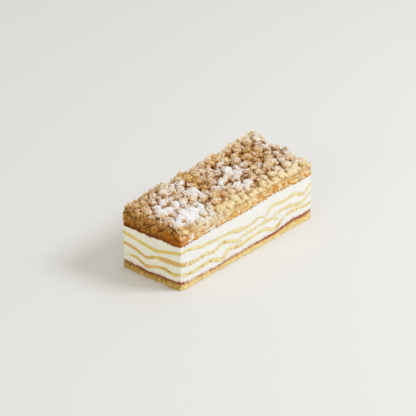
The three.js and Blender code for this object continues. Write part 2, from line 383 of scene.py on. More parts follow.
for layer, entries in SWELLS.items():
    lower = LAYERS.index(layer)
    swell = rim_table(entries)
    if "sheet" in layer:
        swell += SHEET_SWELL + SWELL_WOBBLE * (layered_noise(PLAN, 10, 600 + lower, 2) - 0.5)
        swell += 0.5 * (soft_noise(PLAN, 3.2, 650 + lower) - 0.5)
    RIM_LINES[lower] = RIM_LINES[lower] - swell
    RIM_LINES[lower + 1] = RIM_LINES[lower + 1] + swell

for layer, entries in LIFTS.items():
    lower = LAYERS.index(layer)
    RIM_LINES[lower] = RIM_LINES[lower] + rim_table(entries)
    RIM_LINES[lower + 1] = RIM_LINES[lower + 1] + rim_table(entries)

RIM_LINES[1:] = [line + RAISED for line in RIM_LINES[1:]]


def level(k, x, y):
    """Height of the boundary over layer k - 1, anywhere in the plan: a patch between its rim."""
    line = RIM_LINES[k]
    u = x / LENGTH + 0.5
    v = y / WIDTH + 0.5
    near = at_rim(line, front(x))
    right = at_rim(line, LENGTH + HALF_WIDTH + y)
    back = at_rim(line, LENGTH + WIDTH + HALF_LENGTH - x)
    end = at_rim(line, left(y))
    near_left, near_right, far_right, far_left = (
        at_rim(line, place) for place in (0, LENGTH, LENGTH + WIDTH, 2 * LENGTH + WIDTH))
    corners = (near_left * (1 - u) + near_right * u) * (1 - v)
    corners += (far_left * (1 - u) + far_right * u) * v
    height = near * (1 - v) + back * v + end * (1 - u) + right * u - corners
    flat = np.stack([x, y, np.full_like(x, 40.0 * k)], -1)
    wobble, size = LINE_WOBBLES[k]
    return height + wobble * (layered_noise(flat, size, 90 + k) - 0.5)


def cut_wobble(points):
    return CUT_WOBBLE * (layered_noise(points, CUT_WOBBLE_SIZE, 7, 2) - 0.5)


# Meshes

def new_object(name, points, faces, material=None):
    mesh = bpy.data.meshes.new(name)
    mesh.from_pydata((np.asarray(points) * MM).tolist(), [], faces)
    mesh.validate()
    mesh.update()
    piece = bpy.data.objects.new(name, mesh)
    bpy.context.scene.collection.objects.link(piece)
    if material:
        mesh.materials.append(material)
    shade_smooth(piece)
    return piece


def shade_smooth(piece):
    mesh = piece.data
    mesh.polygons.foreach_set("use_smooth", np.ones(len(mesh.polygons), bool))
    mesh.update()


def move_points(piece, points):
    piece.data.vertices.foreach_set("co", (points * MM).astype(np.float32).ravel())
    piece.data.update()


def finished(piece):
    """The piece with its modifiers worked into the mesh."""
    bpy.context.view_layer.update()
    evaluated = piece.evaluated_get(bpy.context.evaluated_depsgraph_get())
    mesh = bpy.data.meshes.new_from_object(evaluated)
    piece.modifiers.clear()
    piece.data = mesh
    return piece


def remeshed(piece, voxel):
    modifier = piece.modifiers.new("voxels", "REMESH")
    modifier.mode = "VOXEL"
    modifier.voxel_size = voxel * MM
    return finished(piece)


def thinned(piece, most):
    """The piece with its net thinned where it is flattest, down to that many triangles."""
    count = sum(len(face.vertices) - 2 for face in piece.data.polygons)
    if count > most:
        modifier = piece.modifiers.new("thinning", "DECIMATE")
        modifier.ratio = most / count
        finished(piece)
    return piece


def gathered(shells):
    """The points and faces of several shells as those of one mesh."""
    points, faces, offset = [], [], 0
    for shell_points, shell_faces in shells:
        points.append(shell_points)
        faces += [[offset + v for v in face] for face in shell_faces]
        offset += len(shell_points)
    return np.concatenate(points), faces


def joined(name, pieces):
    """One object with the meshes of several, which are then removed."""
    shells = [(mesh_points(p), [face.vertices for face in p.data.polygons]) for p in pieces]
    points, faces = gathered(shells)
    for piece in pieces:
        bpy.data.objects.remove(piece)
    return new_object(name, points, faces)


def keep_largest_shell(piece):
    """Drops whatever isn't joined to the largest connected part of the mesh."""
    mesh = piece.data
    a, b = edge_ends(mesh)
    label = np.arange(len(mesh.vertices))
    while True:
        lowest = np.minimum(label[a], label[b])
        new = label.copy()
        np.minimum.at(new, a, lowest)
        np.minimum.at(new, b, lowest)
        new = new[new]
        if np.array_equal(new, label):
            break
        label = new
    kinds, counts = np.unique(label, return_counts=True)
    stray = label != kinds[np.argmax(counts)]
    form = bmesh.new()
    form.from_mesh(mesh)
    form.verts.ensure_lookup_table()
    bmesh.ops.delete(form, geom=[form.verts[i] for i in np.flatnonzero(stray)], context="VERTS")
    form.to_mesh(mesh)
    form.free()
    mesh.update()


def hollows(piece, rounds=14):
    """How far each point lies, in millimetres, below the surface when that is smoothed out."""
    a, b = edge_ends(piece.data)
    ends, others = np.concatenate([a, b]), np.concatenate([b, a])
    count = len(piece.data.vertices)
    links = np.bincount(ends, minlength=count)[:, None]
    points = mesh_points(piece)
    smooth = points
    for _ in range(rounds):
        sums = [np.bincount(ends, smooth[others, axis], count) for axis in range(3)]
        smooth = (smooth + np.stack(sums, -1) / links) / 2
    return np.sum((smooth - points) * mesh_normals(piece), axis=1)


# Layers: a slab between two levels, whose side is a fine net with the relief of a cut face

def ring_cap(faces, outer, inner):
    """Joins a ring of points to one with half as many inside it."""
    count = len(inner)
    for i in range(count):
        a, b, c = outer[2 * i], outer[2 * i + 1], outer[(2 * i + 2) % len(outer)]
        p, q = inner[i], inner[(i + 1) % count]
        faces += [(a, b, p), (b, q, p), (b, c, q)]


def slab(name, low, high, relief, material, rim_count=RIM_POINTS, row_pitch=ROW_PITCH):
    """low and high are functions of x and y; relief gives how far out each side point stands."""
    rim = np.arange(rim_count) * PERIMETER / rim_count
    edge, normals = outline(rim)
    bottom, top = low(edge[:, 0], edge[:, 1]), high(edge[:, 0], edge[:, 1])
    rows = max(3, round(float(np.mean(top - bottom)) / row_pitch))
    points, shares = [], []
    for row in range(rows + 1):
        share = row / rows
        height = bottom + (top - bottom) * share
        flat = np.column_stack([edge, height])
        out = cut_wobble(flat) + relief(flat, rim)
        points.append(np.column_stack([edge + normals * out[:, None], height]))
        shares.append(np.full(rim_count, share))
    count = (rows + 1) * rim_count
    faces = []
    for row in range(rows):
        a = row * rim_count
        for i in range(rim_count):
            j = (i + 1) % rim_count
            faces.append((a + i, a + j, a + rim_count + j, a + rim_count + i))
    for surface, start, upward in ((low, 0, False), (high, rows * rim_count, True)):
        outer = list(range(start, start + rim_count))
        cap = []
        for depth, inset in enumerate(RING_INSETS):
            shrink = 1 - inset / np.array([HALF_LENGTH, HALF_WIDTH])
            ring = edge[::2 ** (depth + 1)] * shrink
            points.append(np.column_stack([ring, surface(ring[:, 0], ring[:, 1])]))
            inner = list(range(count, count + len(ring)))
            ring_cap(cap, outer, inner)
            count += len(ring)
            outer = inner
        cap.append(tuple(outer))
        faces += cap if upward else [face[::-1] for face in cap]
    piece = new_object(name, np.concatenate(points), faces, material)
    side = (rows + 1) * rim_count
    place, share = np.zeros(count), np.zeros(count)
    place[:side] = np.tile(rim, rows + 1)
    share[:side] = np.concatenate(shares)
    return piece, place, share


def between(place, middle, reach, edge=2.0):
    """1 along a stretch of the rim, fading at its ends."""
    gap = np.abs((place - middle + PERIMETER / 2) % PERIMETER - PERIMETER / 2)
    return 1 - smooth_step(reach - edge, reach + edge, gap)


# Materials

class Wire:
    """A node's output, with the arithmetic that the finishes use."""

    def __init__(self, finish, socket):
        self.finish = finish
        self.socket = socket

    def __add__(self, other):
        return self.finish.maths("ADD", self, other)

    def __sub__(self, other):
        return self.finish.maths("SUBTRACT", self, other)

    def __rsub__(self, other):
        return self.finish.maths("SUBTRACT", other, self)

    def __mul__(self, other):
        return self.finish.maths("MULTIPLY", self, other)

    __radd__ = __add__
    __rmul__ = __mul__


class Finish:
    """A material and the few kinds of node that it is built from."""

    def __init__(self, name):
        self.material = bpy.data.materials.new(name)
        self.material.use_nodes = True
        self.nodes = self.material.node_tree.nodes
        self.links = self.material.node_tree.links
        self.nodes.clear()
        self.place = self.add("TexCoord", output="Object")

    def feed(self, socket, value):
        if isinstance(value, Wire):
            self.links.new(value.socket, socket)
        elif isinstance(value, tuple) and len(value) == 3 and socket.type == "RGBA":
            socket.default_value = (*value, 1)
        else:
            socket.default_value = value

    def add(self, kind, settings=None, inputs=None, output=0):
        node = self.nodes.new("ShaderNode" + kind)
        for key, value in (settings or {}).items():
            setattr(node, key, value)
        for key, value in (inputs or {}).items():
            self.feed(node.inputs[key], value)
        return Wire(self, node.outputs[output])

    def maths(self, operation, a, b):
        return self.add("Math", {"operation": operation}, {0: a, 1: b})

    def mix(self, share, a, b):
        factor, first, second = 0, 6, 7
        return self.add("Mix", {"data_type": "RGBA"}, {factor: share, first: a, second: b}, 2)

    def step(self, value, low, high, start=0.0, end=1.0):
        inputs = {"Value": value, "From Min": low, "From Max": high, "To Min": start, "To Max": end}
        return self.add("MapRange", {"interpolation_type": "SMOOTHSTEP"}, inputs)

    def noise(self, size, detail=3.0, rough=0.55, place=None):
        """Random values of about 0.5, with features of that many millimetres."""
        inputs = {"Vector": place or self.place, "Scale": 1 / (size * MM), "Detail": detail}
        inputs["Roughness"] = rough
        return self.add("TexNoise", None, inputs)

    def cells(self, size):
        """Distance to the middle of the nearest of many cells of that many millimetres."""
        inputs = {"Vector": self.place, "Scale": 1 / (size * MM)}
        return self.add("TexVoronoi", None, inputs)

    def stretched(self, x, y, z):
        """The place with each axis drawn out by that many times."""
        inputs = {"Vector": self.place, "Scale": (1 / x, 1 / y, 1 / z)}
        return self.add("Mapping", None, inputs)

    def painted(self, name):
        return self.add("Attribute", {"attribute_name": name}, None, "Fac")

    def bump(self, height, depth):
        return self.add("Bump", None, {"Height": height, "Distance": depth * MM})

    def surface(self, color, roughness, normal, constants=None):
        inputs = {"Base Color": color, "Roughness": roughness, "Normal": normal}
        inputs.update(constants or {})
        shader = self.add("BsdfPrincipled", None, inputs)
        output = self.nodes.new("ShaderNodeOutputMaterial")
        self.links.new(shader.socket, output.inputs["Surface"])
        return self.material


CREAM_WHITE = (0.882, 0.874, 0.842)
CREAM_WARM = (0.87, 0.855, 0.79)
CHOUX_TINT = (0.87, 0.76, 0.44)
SUGAR_WHITE = (0.91, 0.915, 0.925)
DULL = {"Specular IOR Level": 0.05}
SOFT_GLOW = {
    "Subsurface Weight": 0.25,
    "Subsurface Radius": (1.0, 0.8, 0.5),
    "Subsurface Scale": 2.5 * MM,
}


def cream_color(f, white=CREAM_WHITE):
    # Painted shade: on the left end the cream is painted yellower, as it looks in the warm shade
    # there.
    return f.mix(f.painted("end") * 0.5, white, (0.85, 0.81, 0.59))


def cream_finish():
    f = Finish("whipped_cream")
    drag = f.noise(1.6, 3, 0.5, f.stretched(9, 9, 1))
    soft = f.noise(11, 2)
    fine = f.noise(0.7, 2)
    bubbles = f.step(f.cells(2.3), 0.0, 0.13, 1.0, 0.0)
    color = cream_color(f, f.mix(f.step(soft, 0.35, 0.7), CREAM_WHITE, CREAM_WARM))
    color = f.mix(f.painted("edge") * f.step(f.noise(2.5), 0.3, 0.6, 0.4, 0.9), color, CHOUX_TINT)
    stain = f.painted("stain") * f.step(f.noise(1.8), 0.35, 0.65)
    color = f.mix(stain, color, (0.70, 0.36, 0.27))
    height = drag * 0.6 + fine * 0.25 - bubbles * 0.5
    rough = f.step(drag, 0.3, 0.7, 0.42, 0.6)
    return f.surface(color, rough, f.bump(height, 0.35), SOFT_GLOW)


def choux_finish():
    f = Finish("choux_sheet")
    tone = f.noise(5, 3)
    end = f.painted("end")
    color = f.mix(f.step(tone, 0.35, 0.65), (0.91, 0.79, 0.43), (0.84, 0.64, 0.24))
    color = f.mix(end * 0.85, color, (0.80, 0.56, 0.07))
    amber = f.step(f.painted("amber") + f.noise(3.2, 2) * 0.9, 0.62, 0.95)
    color = f.mix(amber * 0.8, color, (0.72, 0.41, 0.10))
    holes = f.step(f.cells(1.5), 0.05, 0.3, 1.0, 0.0)
    specks = holes * f.step(f.noise(6), 0.35, 0.55, 0.1, 0.9) * (0.35 + end * 0.65)
    color = f.mix(specks, color, (0.42, 0.19, 0.04))
    smear = f.painted("smear")
    veil = f.step(smear + (f.noise(2.2) - 0.5) * 1.4, 0.45, 0.85)
    color = f.mix(veil, color, cream_color(f))
    crumbly = f.painted("brink") * f.step(f.noise(1.6, 2), 0.42, 0.6, 0.15, 0.75) * (1 - end * 0.6)
    color = f.mix(crumbly, color, cream_color(f, CREAM_WARM))
    grit = f.painted("grit") * f.step(f.noise(1.4, 2), 0.51, 0.58)
    color = f.mix(grit, color, (0.46, 0.24, 0.04))
    height = f.noise(0.8, 3) * 0.6 - holes * 0.8 * (1 - veil)
    return f.surface(color, f.step(veil, 0, 1, 0.75, 0.5), f.bump(height, 0.3), SOFT_GLOW)


def jam_finish():
    f = Finish("berry_jam")
    color = f.mix(f.step(f.noise(2.5, 3), 0.3, 0.7), (0.49, 0.16, 0.095), (0.30, 0.072, 0.043))
    veil = f.step(f.painted("smear") + f.noise(1.7) * 0.75, 0.66, 1.0)
    color = f.mix(f.painted("end") * 0.85, color, (0.26, 0.095, 0.028))
    color = f.mix(veil, color, (0.80, 0.62, 0.42))
    rough = f.step(f.noise(3.0), 0.3, 0.7, 0.35, 0.55)
    return f.surface(color, rough, f.bump(f.noise(1.2, 3), 0.3), {"Specular IOR Level": 0.12})


def shortcrust_finish():
    f = Finish("shortcrust")
    tone = f.noise(5, 4, 0.6)
    grain = f.noise(0.8, 3, 0.6)
    end = f.painted("end")
    color = f.mix(f.step(tone, 0.42, 0.58), (0.84, 0.675, 0.28), (0.76, 0.51, 0.15))
    # Painted light: the foot of the base is painted lighter, against the shade where it meets the
    # floor.
    color = f.mix(f.painted("low"), color, (0.85, 0.69, 0.30))
    brown = f.mix(f.step(tone, 0.42, 0.58), (0.55, 0.35, 0.07), (0.36, 0.19, 0.02))
    color = f.mix(end * 0.7, color, brown)
    light_grain = f.mix(end, (0.93, 0.82, 0.48), (0.66, 0.46, 0.14))
    color = f.mix(f.step(grain, 0.52, 0.66, 0.0, 0.8), color, light_grain)
    # The base is coloured darker just under the jam.
    color = f.mix(f.painted("stain"), color, f.mix(end, (0.72, 0.42, 0.19), (0.36, 0.16, 0.03)))
    holes = f.step(f.cells(1.9), 0.08, 0.34, 1.0, 0.0) * f.step(f.noise(4), 0.4, 0.6, 0.2, 1.0)
    color = f.mix(holes * 0.75, color, f.mix(end, (0.52, 0.28, 0.07), (0.20, 0.09, 0.01)))
    pits = f.step(f.noise(2.3, 2), 0.36, 0.45, 0.75, 0.0) * (0.35 + end * 0.65)
    color = f.mix(pits, color, f.mix(end, (0.60, 0.36, 0.10), (0.22, 0.10, 0.012)))
    height = grain * 0.7 + tone * 0.3 - holes * 0.9
    return f.surface(color, 0.85, f.bump(height, 0.45), DULL)


def cut_crumb(f, broad, holes):
    """The colour of a cut face, from the toasted underside of the lid up to pale streusel."""
    rise = f.painted("rise")
    toast = f.painted("toast")
    spots = f.noise(2.6, 3)
    blotch = f.noise(5.5, 2, 0.5, f.stretched(1, 1, 0.6))
    pale = f.mix(f.step(broad, 0.38, 0.62), (0.83, 0.65, 0.37), (0.70, 0.46, 0.20))
    pale = f.mix(f.step(rise + broad * 4, 11.5, 14.0), pale, (0.95, 0.80, 0.48))
    toasted = f.mix(f.step(spots, 0.42, 0.58), (0.95, 0.86, 0.59), (0.88, 0.64, 0.28))
    toasted = f.mix(f.step(blotch, 0.46, 0.55), toasted, (0.85, 0.40, 0.075))
    color = f.mix(f.step(rise + broad * 6, 7.5, 12.0), toasted, pale)
    near_corner = f.mix(f.step(blotch, 0.45, 0.54), (0.94, 0.80, 0.52), (0.74, 0.33, 0.07))
    color = f.mix(toast * f.step(rise, 9, 13, 0.8, 0.3), color, near_corner)
    tip = f.painted("tip")
    color = f.mix(tip * f.step(rise + blotch * 8, 8.0, 13.0, 1.0, 0.35), color, (0.60, 0.20, 0.025))
    color = f.mix(tip * f.step(spots, 0.5, 0.6, 0.0, 0.7), color, (0.80, 0.46, 0.15))
    burnt = f.painted("burnt")
    dark_edge = f.step(rise + spots * 2 - burnt * 2, 1.2, 2.8, 0.5, 0.0) * (1 + burnt * 0.9)
    color = f.mix(dark_edge, color, (0.55, 0.25, 0.06))
    speckle = f.step(f.noise(1.3, 2, 0.6), 0.48, 0.62)
    # Painted shade: the gaps between the broken lumps are painted darker.
    gap = f.painted("gap") * f.step(spots, 0.35, 0.55, 0.4, 1.0)
    color = f.mix(gap * (0.45 + toast * 0.35), color, (0.56, 0.28, 0.07))
    color = f.mix(holes * 0.15, color, (0.55, 0.24, 0.05))
    # Painted shade in the hollows of the cut face.
    hollow = f.step(f.painted("hollow"), 0.05, 0.5)
    color = f.mix(hollow * 0.45, color, (0.50, 0.25, 0.07))
    dust = f.painted("dust") * f.step(f.noise(3, 3), 0.4, 0.55)
    color = f.mix(dust, color, (0.89, 0.83, 0.72))
    brown = f.mix(f.painted("lump"), (0.34, 0.10, 0.008), (0.51, 0.195, 0.024))
    brown = f.mix(f.step(broad, 0.46, 0.62), brown, (0.33, 0.11, 0.01))
    brown = f.mix(f.step(spots, 0.5, 0.62, 0.0, 0.6), brown, (0.66, 0.37, 0.10))
    brown = f.mix(speckle * 0.6, brown, (0.74, 0.47, 0.17))
    brown = f.mix(f.step(rise, 12, 18, 0.0, 0.6), brown, (0.66, 0.36, 0.11))
    warm = f.painted("warm")
    glow = warm * f.step(blotch, 0.35, 0.5, 0.35, 1.0) * f.step(rise, 8, 15, 1.0, 0.0)
    brown = f.mix(glow, brown, (0.53, 0.165, 0.014))
    low = f.step(rise + spots * 3 + blotch * 8, 6.8, 12.3, 1.0, 0.0) * (1 - warm * 0.55)
    brown = f.mix(low, brown, (0.18, 0.035, 0.001))
    brown = f.mix(low * speckle * f.step(blotch, 0.42, 0.52, 0.2, 0.8), brown, (0.48, 0.19, 0.025))
    # Painted shade in the gaps between the broken lumps; the pores are darker too.
    brown = f.mix(gap * 0.5 + holes * 0.5, brown, (0.12, 0.035, 0.004))
    # Painted shade, deep brown, in the hollows of the left end.
    brown = f.mix(hollow * 0.8, brown, (0.10, 0.03, 0.003))
    return f.mix(f.painted("end"), color, brown)


def baked_choux_finish():
    f = Finish("baked_choux_lid")
    holes = f.step(f.cells(2.2), 0.1, 0.42, 1.0, 0.0)
    color = cut_crumb(f, f.noise(5, 3), holes)
    height = f.noise(1.1, 4, 0.6) - holes * 1.2
    return f.surface(color, 0.8, f.bump(height, 0.6), DULL)


def powdered(f, color, cover):
    """Icing sugar over a colour: separate grains where it is thin, white where it is thick."""
    drift = f.noise(5.0, 4, 0.6) - 0.5
    grains = f.noise(1.2, 2, 0.7)
    amount = cover + drift * 0.6
    color = f.mix(f.step(amount, 0.3, 1.1, 0.0, 0.2), color, SUGAR_WHITE)
    powder = f.step(grains + amount * 0.29, 0.62, 0.67) * f.step(cover, 0.03, 0.2)
    return f.mix(powder, color, SUGAR_WHITE)


def streusel_finish():
    f = Finish("streusel")
    up = f.painted("up")
    depth = f.painted("depth")
    grain = f.noise(1.1, 3, 0.65)
    broad = f.noise(4, 3)
    crust = f.mix(f.painted("tone"), (0.79, 0.495, 0.155), (0.57, 0.27, 0.044))
    crust = f.mix(f.step(grain, 0.5, 0.6, 0.0, 0.9), crust, (0.92, 0.70, 0.37))
    crust = f.mix(f.step(grain, 0.37, 0.47, 0.85, 0.0), crust, (0.34, 0.125, 0.017))
    # Painted shade: the steep sides of the lumps are painted darker than their tops.
    crust = f.mix(f.step(up, 0.2, 0.8, 0.35, 0.0), crust, (0.50, 0.22, 0.035))
    pale = f.painted("pale") * f.step(broad, 0.35, 0.6, 0.5, 1.0)
    crust = f.mix(pale, crust, (0.90, 0.74, 0.43))
    hollow = f.painted("hollow")
    # Painted shade in the patches of gaps between the lumps.
    dark = f.painted("dark") * f.step(broad + grain, 0.85, 1.1, 0.85, 0.2)
    crust = f.mix(dark, crust, (0.25, 0.105, 0.022))
    # Painted shade: the crust is painted darker the deeper it lies below the crest, in the crevices.
    crust = f.mix(f.step(depth, 2.5, 7.0, 0.0, 0.7), crust, (0.40, 0.15, 0.025))
    # Painted shade in the hollows, softer on the pale edge.
    shade = f.mix(pale * 0.8, (0.22, 0.080, 0.012), (0.76, 0.53, 0.25))
    crust = f.mix(f.step(hollow, 0.0, 0.45, 0.0, 0.85), crust, shade)
    holes = f.step(f.cells(2.2), 0.08, 0.3, 1.0, 0.0)
    cut = f.painted("cut")
    color = f.mix(cut, crust, cut_crumb(f, broad, holes))
    cover = f.painted("sugar") * f.step(up, 0.0, 0.7, 0.2, 1.0) * f.step(depth, 2.5, 7.0, 1.0, 0.25)
    cover = cover * f.step(hollow - f.painted("sugar") * 0.35, -0.1, 0.25, 1.0, 0.35)
    color = powdered(f, color, cover * (1 - cut * f.step(depth, 1.0, 5.0, 0.25, 1.0)))
    height = grain * 0.7 + f.noise(0.4, 2) * 0.3 - holes * cut
    return f.surface(color, 0.88, f.bump(height, 0.8), DULL)


def crumb_finish():
    f = Finish("loose_crumbs")
    color = f.mix(f.painted("tone"), (0.76, 0.52, 0.24), (0.46, 0.23, 0.07))
    color = powdered(f, color, f.painted("sugar") * 0.8)
    return f.surface(color, 0.88, f.bump(f.noise(0.4, 2), 0.2), DULL)


# Faces of the layers

def cream_relief(points, place):
    streak = soft_noise(np.column_stack([place / 11, points[:, 2] / 1.1, place * 0]), 1, 31)
    return -0.1 + 0.25 * (layered_noise(points, 6, 32) - 0.5) + 0.14 * (streak - 0.5)


def choux_relief(points, place):
    rough = 0.5 * (layered_noise(points, 1.7, 41) - 0.5)
    return 0.1 + rough - 0.4 * pores(points, 1.7, 42, 0.35)


def jam_relief(points, place):
    return -0.05 + 0.5 * (layered_noise(points, 2.4, 51) - 0.5)


def shortcrust_relief(points, place):
    foot = points * [1, 1, 0]
    toe = 0.2 + 1.5 * soft_noise(foot, 2.6, 64) + 0.6 * soft_noise(foot, 8, 65)
    toe = toe * smooth_step(3.4, 0.6, points[:, 2])
    round_off = 0.8 * smooth_step(0.9, 0.0, points[:, 2])
    rough = 1.1 * (layered_noise(points, 2.0, 61) - 0.5)
    around = np.minimum(place, PERIMETER - place)
    corner = 1.4 * np.exp(-(around / 3.4) ** 2)
    return rough - 0.6 * pores(points, 2.4, 62, 0.4) + toe - round_off - corner - 0.3


def cracked(points):
    """1 along thin, wandering cracks."""
    wander = points + 3 * layered_noise(points, 3, 82)[:, None]
    return np.exp(-((layered_noise(wander, 6.5, 78, 2) - 0.5) / 0.045) ** 2)


def lid_relief(points, place):
    rough = 1.2 * (layered_noise(points, 2.2, 71) - 0.5) - 0.7 * cracked(points)
    return rough - 0.8 * pores(points, 2.4, 72, 0.42)


RELIEFS = {
    "shortcrust": shortcrust_relief,
    "jam": jam_relief,
    "cream": cream_relief,
    "choux": choux_relief,
    "baked_choux": lid_relief,
}

# Where cream is smeared over a layer's edge: place on the rim, half the length, and how much.
SMEARS = {
    "choux_sheet_3": [(front(26.5), 4.0, 1.0), (front(8), 7, 0.35), (front(31.5), 1.5, 1.0)],
    "choux_sheet_2": [
        (front(-14.5), 1.5, 1.0), (front(-64), 4, 0.3), (front(15.5), 3.0, 0.6),
        (front(44.5), 4.5, 1.0),
    ],
    "choux_sheet_1": [(left(34), 6.0, 1.0), (front(57.5), 2.0, 0.7), (front(9), 3, 0.4)],
    "jam_layer": [(front(-84.5), 6.0, 0.7), (front(-64.5), 4.0, 0.8), (front(-44), 54, 0.44)],
}

# Where the choux is browner: place on the rim and half the length.
AMBER_SPOTS = {
    "choux_sheet_2": [
        (left(-26), 15), (left(16), 20), (front(-88), 2.0), (front(-70), 2), (front(-37), 2.5),
        (front(-97), 4),
    ],
    "choux_sheet_1": [
        (left(-17), 7), (left(12), 12), (front(-88), 2.0), (front(-70), 2), (front(-59), 2),
        (front(-18), 3), (front(47.5), 3.5),
    ],
}

# The stretches of the middle sheet that cream splits in two, and that have dark grit in the
# split: place on the rim, half the length, and how far each fades at its ends.
DOUBLED = (0, 26, 6)
GRITTY = (-14, 20, 6)


def toast_share(points):
    """1 where the long side is browner, by the near corner, and rather less by the right one."""
    return np.maximum(smooth_step(-70, -98, points[:, 0]), 0.6 * smooth_step(84, 99, points[:, 0]))


def pale_share(points):
    """1 along the front edge of the streusel and the right half of its back, which are paler."""
    along = smooth_step(-90, -20, points[:, 0]) * smooth_step(20, 7, points[:, 1] + HALF_WIDTH)
    behind = smooth_step(5, 20, points[:, 0]) * smooth_step(8, 2, HALF_WIDTH - points[:, 1])
    return np.maximum(along, 0.8 * behind)


def dust_share(points):
    """How much sugar clings to the cut face of the long side, left of its middle."""
    along = smooth_step(-80, -62, points[:, 0]) * smooth_step(-30, -46, points[:, 0])
    return 0.6 * along * smooth_step(50, 53, points[:, 2])


def paint_cut(piece, points):
    """What the colour of a cut face needs to know."""
    value, gap = broken_lumps(points)
    x, y, z = points.T
    paint(
        piece,
        rise=z - level(LID_UNDERSIDE, x, y),
        toast=toast_share(points),
        burnt=smooth_step(-70, -98, x),
        dust=dust_share(points),
        warm=smooth_step(2, -22, y),
        tip=smooth_step(-94, -99, x) * smooth_step(62, 55, z),
        lump=value,
        # gap carries the painted shade between the broken lumps.
        gap=gap,
    )


def edge_share(k, points):
    """1 at a layer's boundaries with a sheet of choux, fading within about a millimetre."""
    near = np.zeros(len(points))
    for boundary, beside in ((k, k - 1), (k + 1, k + 1)):
        if 0 <= beside < LID_UNDERSIDE and "sheet" in LAYERS[beside]:
            distance = np.abs(points[:, 2] - level(boundary, points[:, 0], points[:, 1]))
            near = np.maximum(near, np.exp(-(distance / EDGE_TINT) ** 2))
    return near


def end_share(normals):
    """1 on the left end of the block, which is the browner one; there the cream is painted yellower,
    as warm shade.
    """
    return smooth_step(0.45, 0.8, -normals[:, 0])


def make_layers(finishes):
    slots = {part["node"]: part["material_slot"] for part in frame["record"]["subparts"]}
    for k, name in enumerate(LAYERS):
        kind = slots[name]

        def low(x, y, k=k):
            return level(k, x, y)

        def high(x, y, k=k):
            return level(k + 1, x, y)

        piece, place, share = slab(name + "_look", low, high, RELIEFS[kind], finishes[kind])
        points = mesh_points(piece)
        smear = 0.5 * layered_noise(points, 9, 200 + k)
        for middle, reach, strength in SMEARS.get(name, []):
            smear = np.maximum(smear, strength * between(place, middle, reach))
        amber = np.zeros(len(points))
        for middle, reach in AMBER_SPOTS.get(name, []):
            amber = np.maximum(amber, 0.55 * between(place, middle, reach))
        grit = np.zeros(len(points))
        if name == "choux_sheet_2":
            gap = smooth_step(0.24, 0.08, np.abs(share - 0.5))
            parted = 0.36 + 0.5 * layered_noise(points, 5, 640)
            smear = np.maximum(smear, parted * between(place, *DOUBLED) * gap)
            grit = 0.9 * gap * between(place, *GRITTY)
        if name == "choux_sheet_1":
            grit = 0.7 * (between(place, left(-14), 4) + between(place, left(-23), 3))
        end = end_share(mesh_normals(piece))
        stain = 0
        if name == "cream_1":
            stain = (0.7 + 0.3 * end) * np.exp(-share * 5)
        if name == "shortcrust_base":
            under_jam = level(1, points[:, 0], points[:, 1]) - points[:, 2]
            # The top of the base is coloured darker just under the jam.
            stain = 0.7 * np.exp(-(under_jam / 1.9) ** 2)
        paint(
            piece,
            smear=smear,
            amber=amber,
            grit=grit,
            stain=stain,
            edge=edge_share(k, points),
            end=end,
            # Painted light at the foot of the base.
            low=0.8 * smooth_step(3.2, 0.8, points[:, 2]),
            brink=smooth_step(0.3, 0.5, np.abs(share - 0.5)),
        )
        paint_cut(piece, points)
        # hollow carries the painted shade in the lid's hollows.
        if k == LID_UNDERSIDE:
            paint(piece, hollow=hollows(piece))
        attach(piece, BODY)
        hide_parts(name)


# Strips of choux that curl, stand steep or trail off between the sheets: places on the rim and
# heights along each, its thickness, and how much cream veils it.
FLAKES = [
    ([(front(30.2), 29.6), (front(30.4), 32.5), (front(31.2), 35.8), (front(34.5), 37.8)], 2.0, 0.1),
    ([(front(37), 24.9), (front(40.5), 23.2), (front(43.5), 21.4), (front(46.8), 21.2),
      (front(48.6), 22.4)], 1.9, 0.1),
    ([(front(43.6), 23.9), (front(42.2), 25.4), (front(42.0), 27.6), (front(44), 28.6),
      (front(47.5), 28.2), (front(51), 27.7)], 1.9, 0.1),
    ([(front(20), 33.4), (front(24), 31.8), (front(27), 28.4), (front(29.5), 25.2)], 1.1, 0.45),
    ([(front(-18.5), 21.6), (front(-15), 19.4), (front(-12), 18.6), (front(-10.6), 20.2)], 1.8, 0.2),
    ([(front(-37.4), 11.2), (front(-35.8), 13.4), (front(-34.9), 15.9), (front(-32.6), 17.7)],
     1.8, 0.1),
    ([(front(-66), 26.6), (front(-60), 27.2), (front(-54), 25.8)], 0.9, 0.5),
    ([(front(-9), 30.2), (front(-3), 31.6), (front(4), 30.6)], 0.9, 0.45),
]


def smooth_path(stops, pitch=0.45):
    """A dense, rounded line through the stops."""
    stops = np.array(stops, float)
    padded = np.concatenate([[2 * stops[0] - stops[1]], stops, [2 * stops[-1] - stops[-2]]])
    line = []
    for a, b, c, d in zip(padded, padded[1:], padded[2:], padded[3:]):
        count = max(2, round(float(np.linalg.norm(c - b)) / pitch))
        for t in np.arange(count) / count:
            bend = (2 * a - 5 * b + 4 * c - d) * t * t + (3 * b - a - 3 * c + d) * t ** 3
            line.append(b + 0.5 * ((c - a) * t + bend))
    return np.array(line + [stops[-1]])


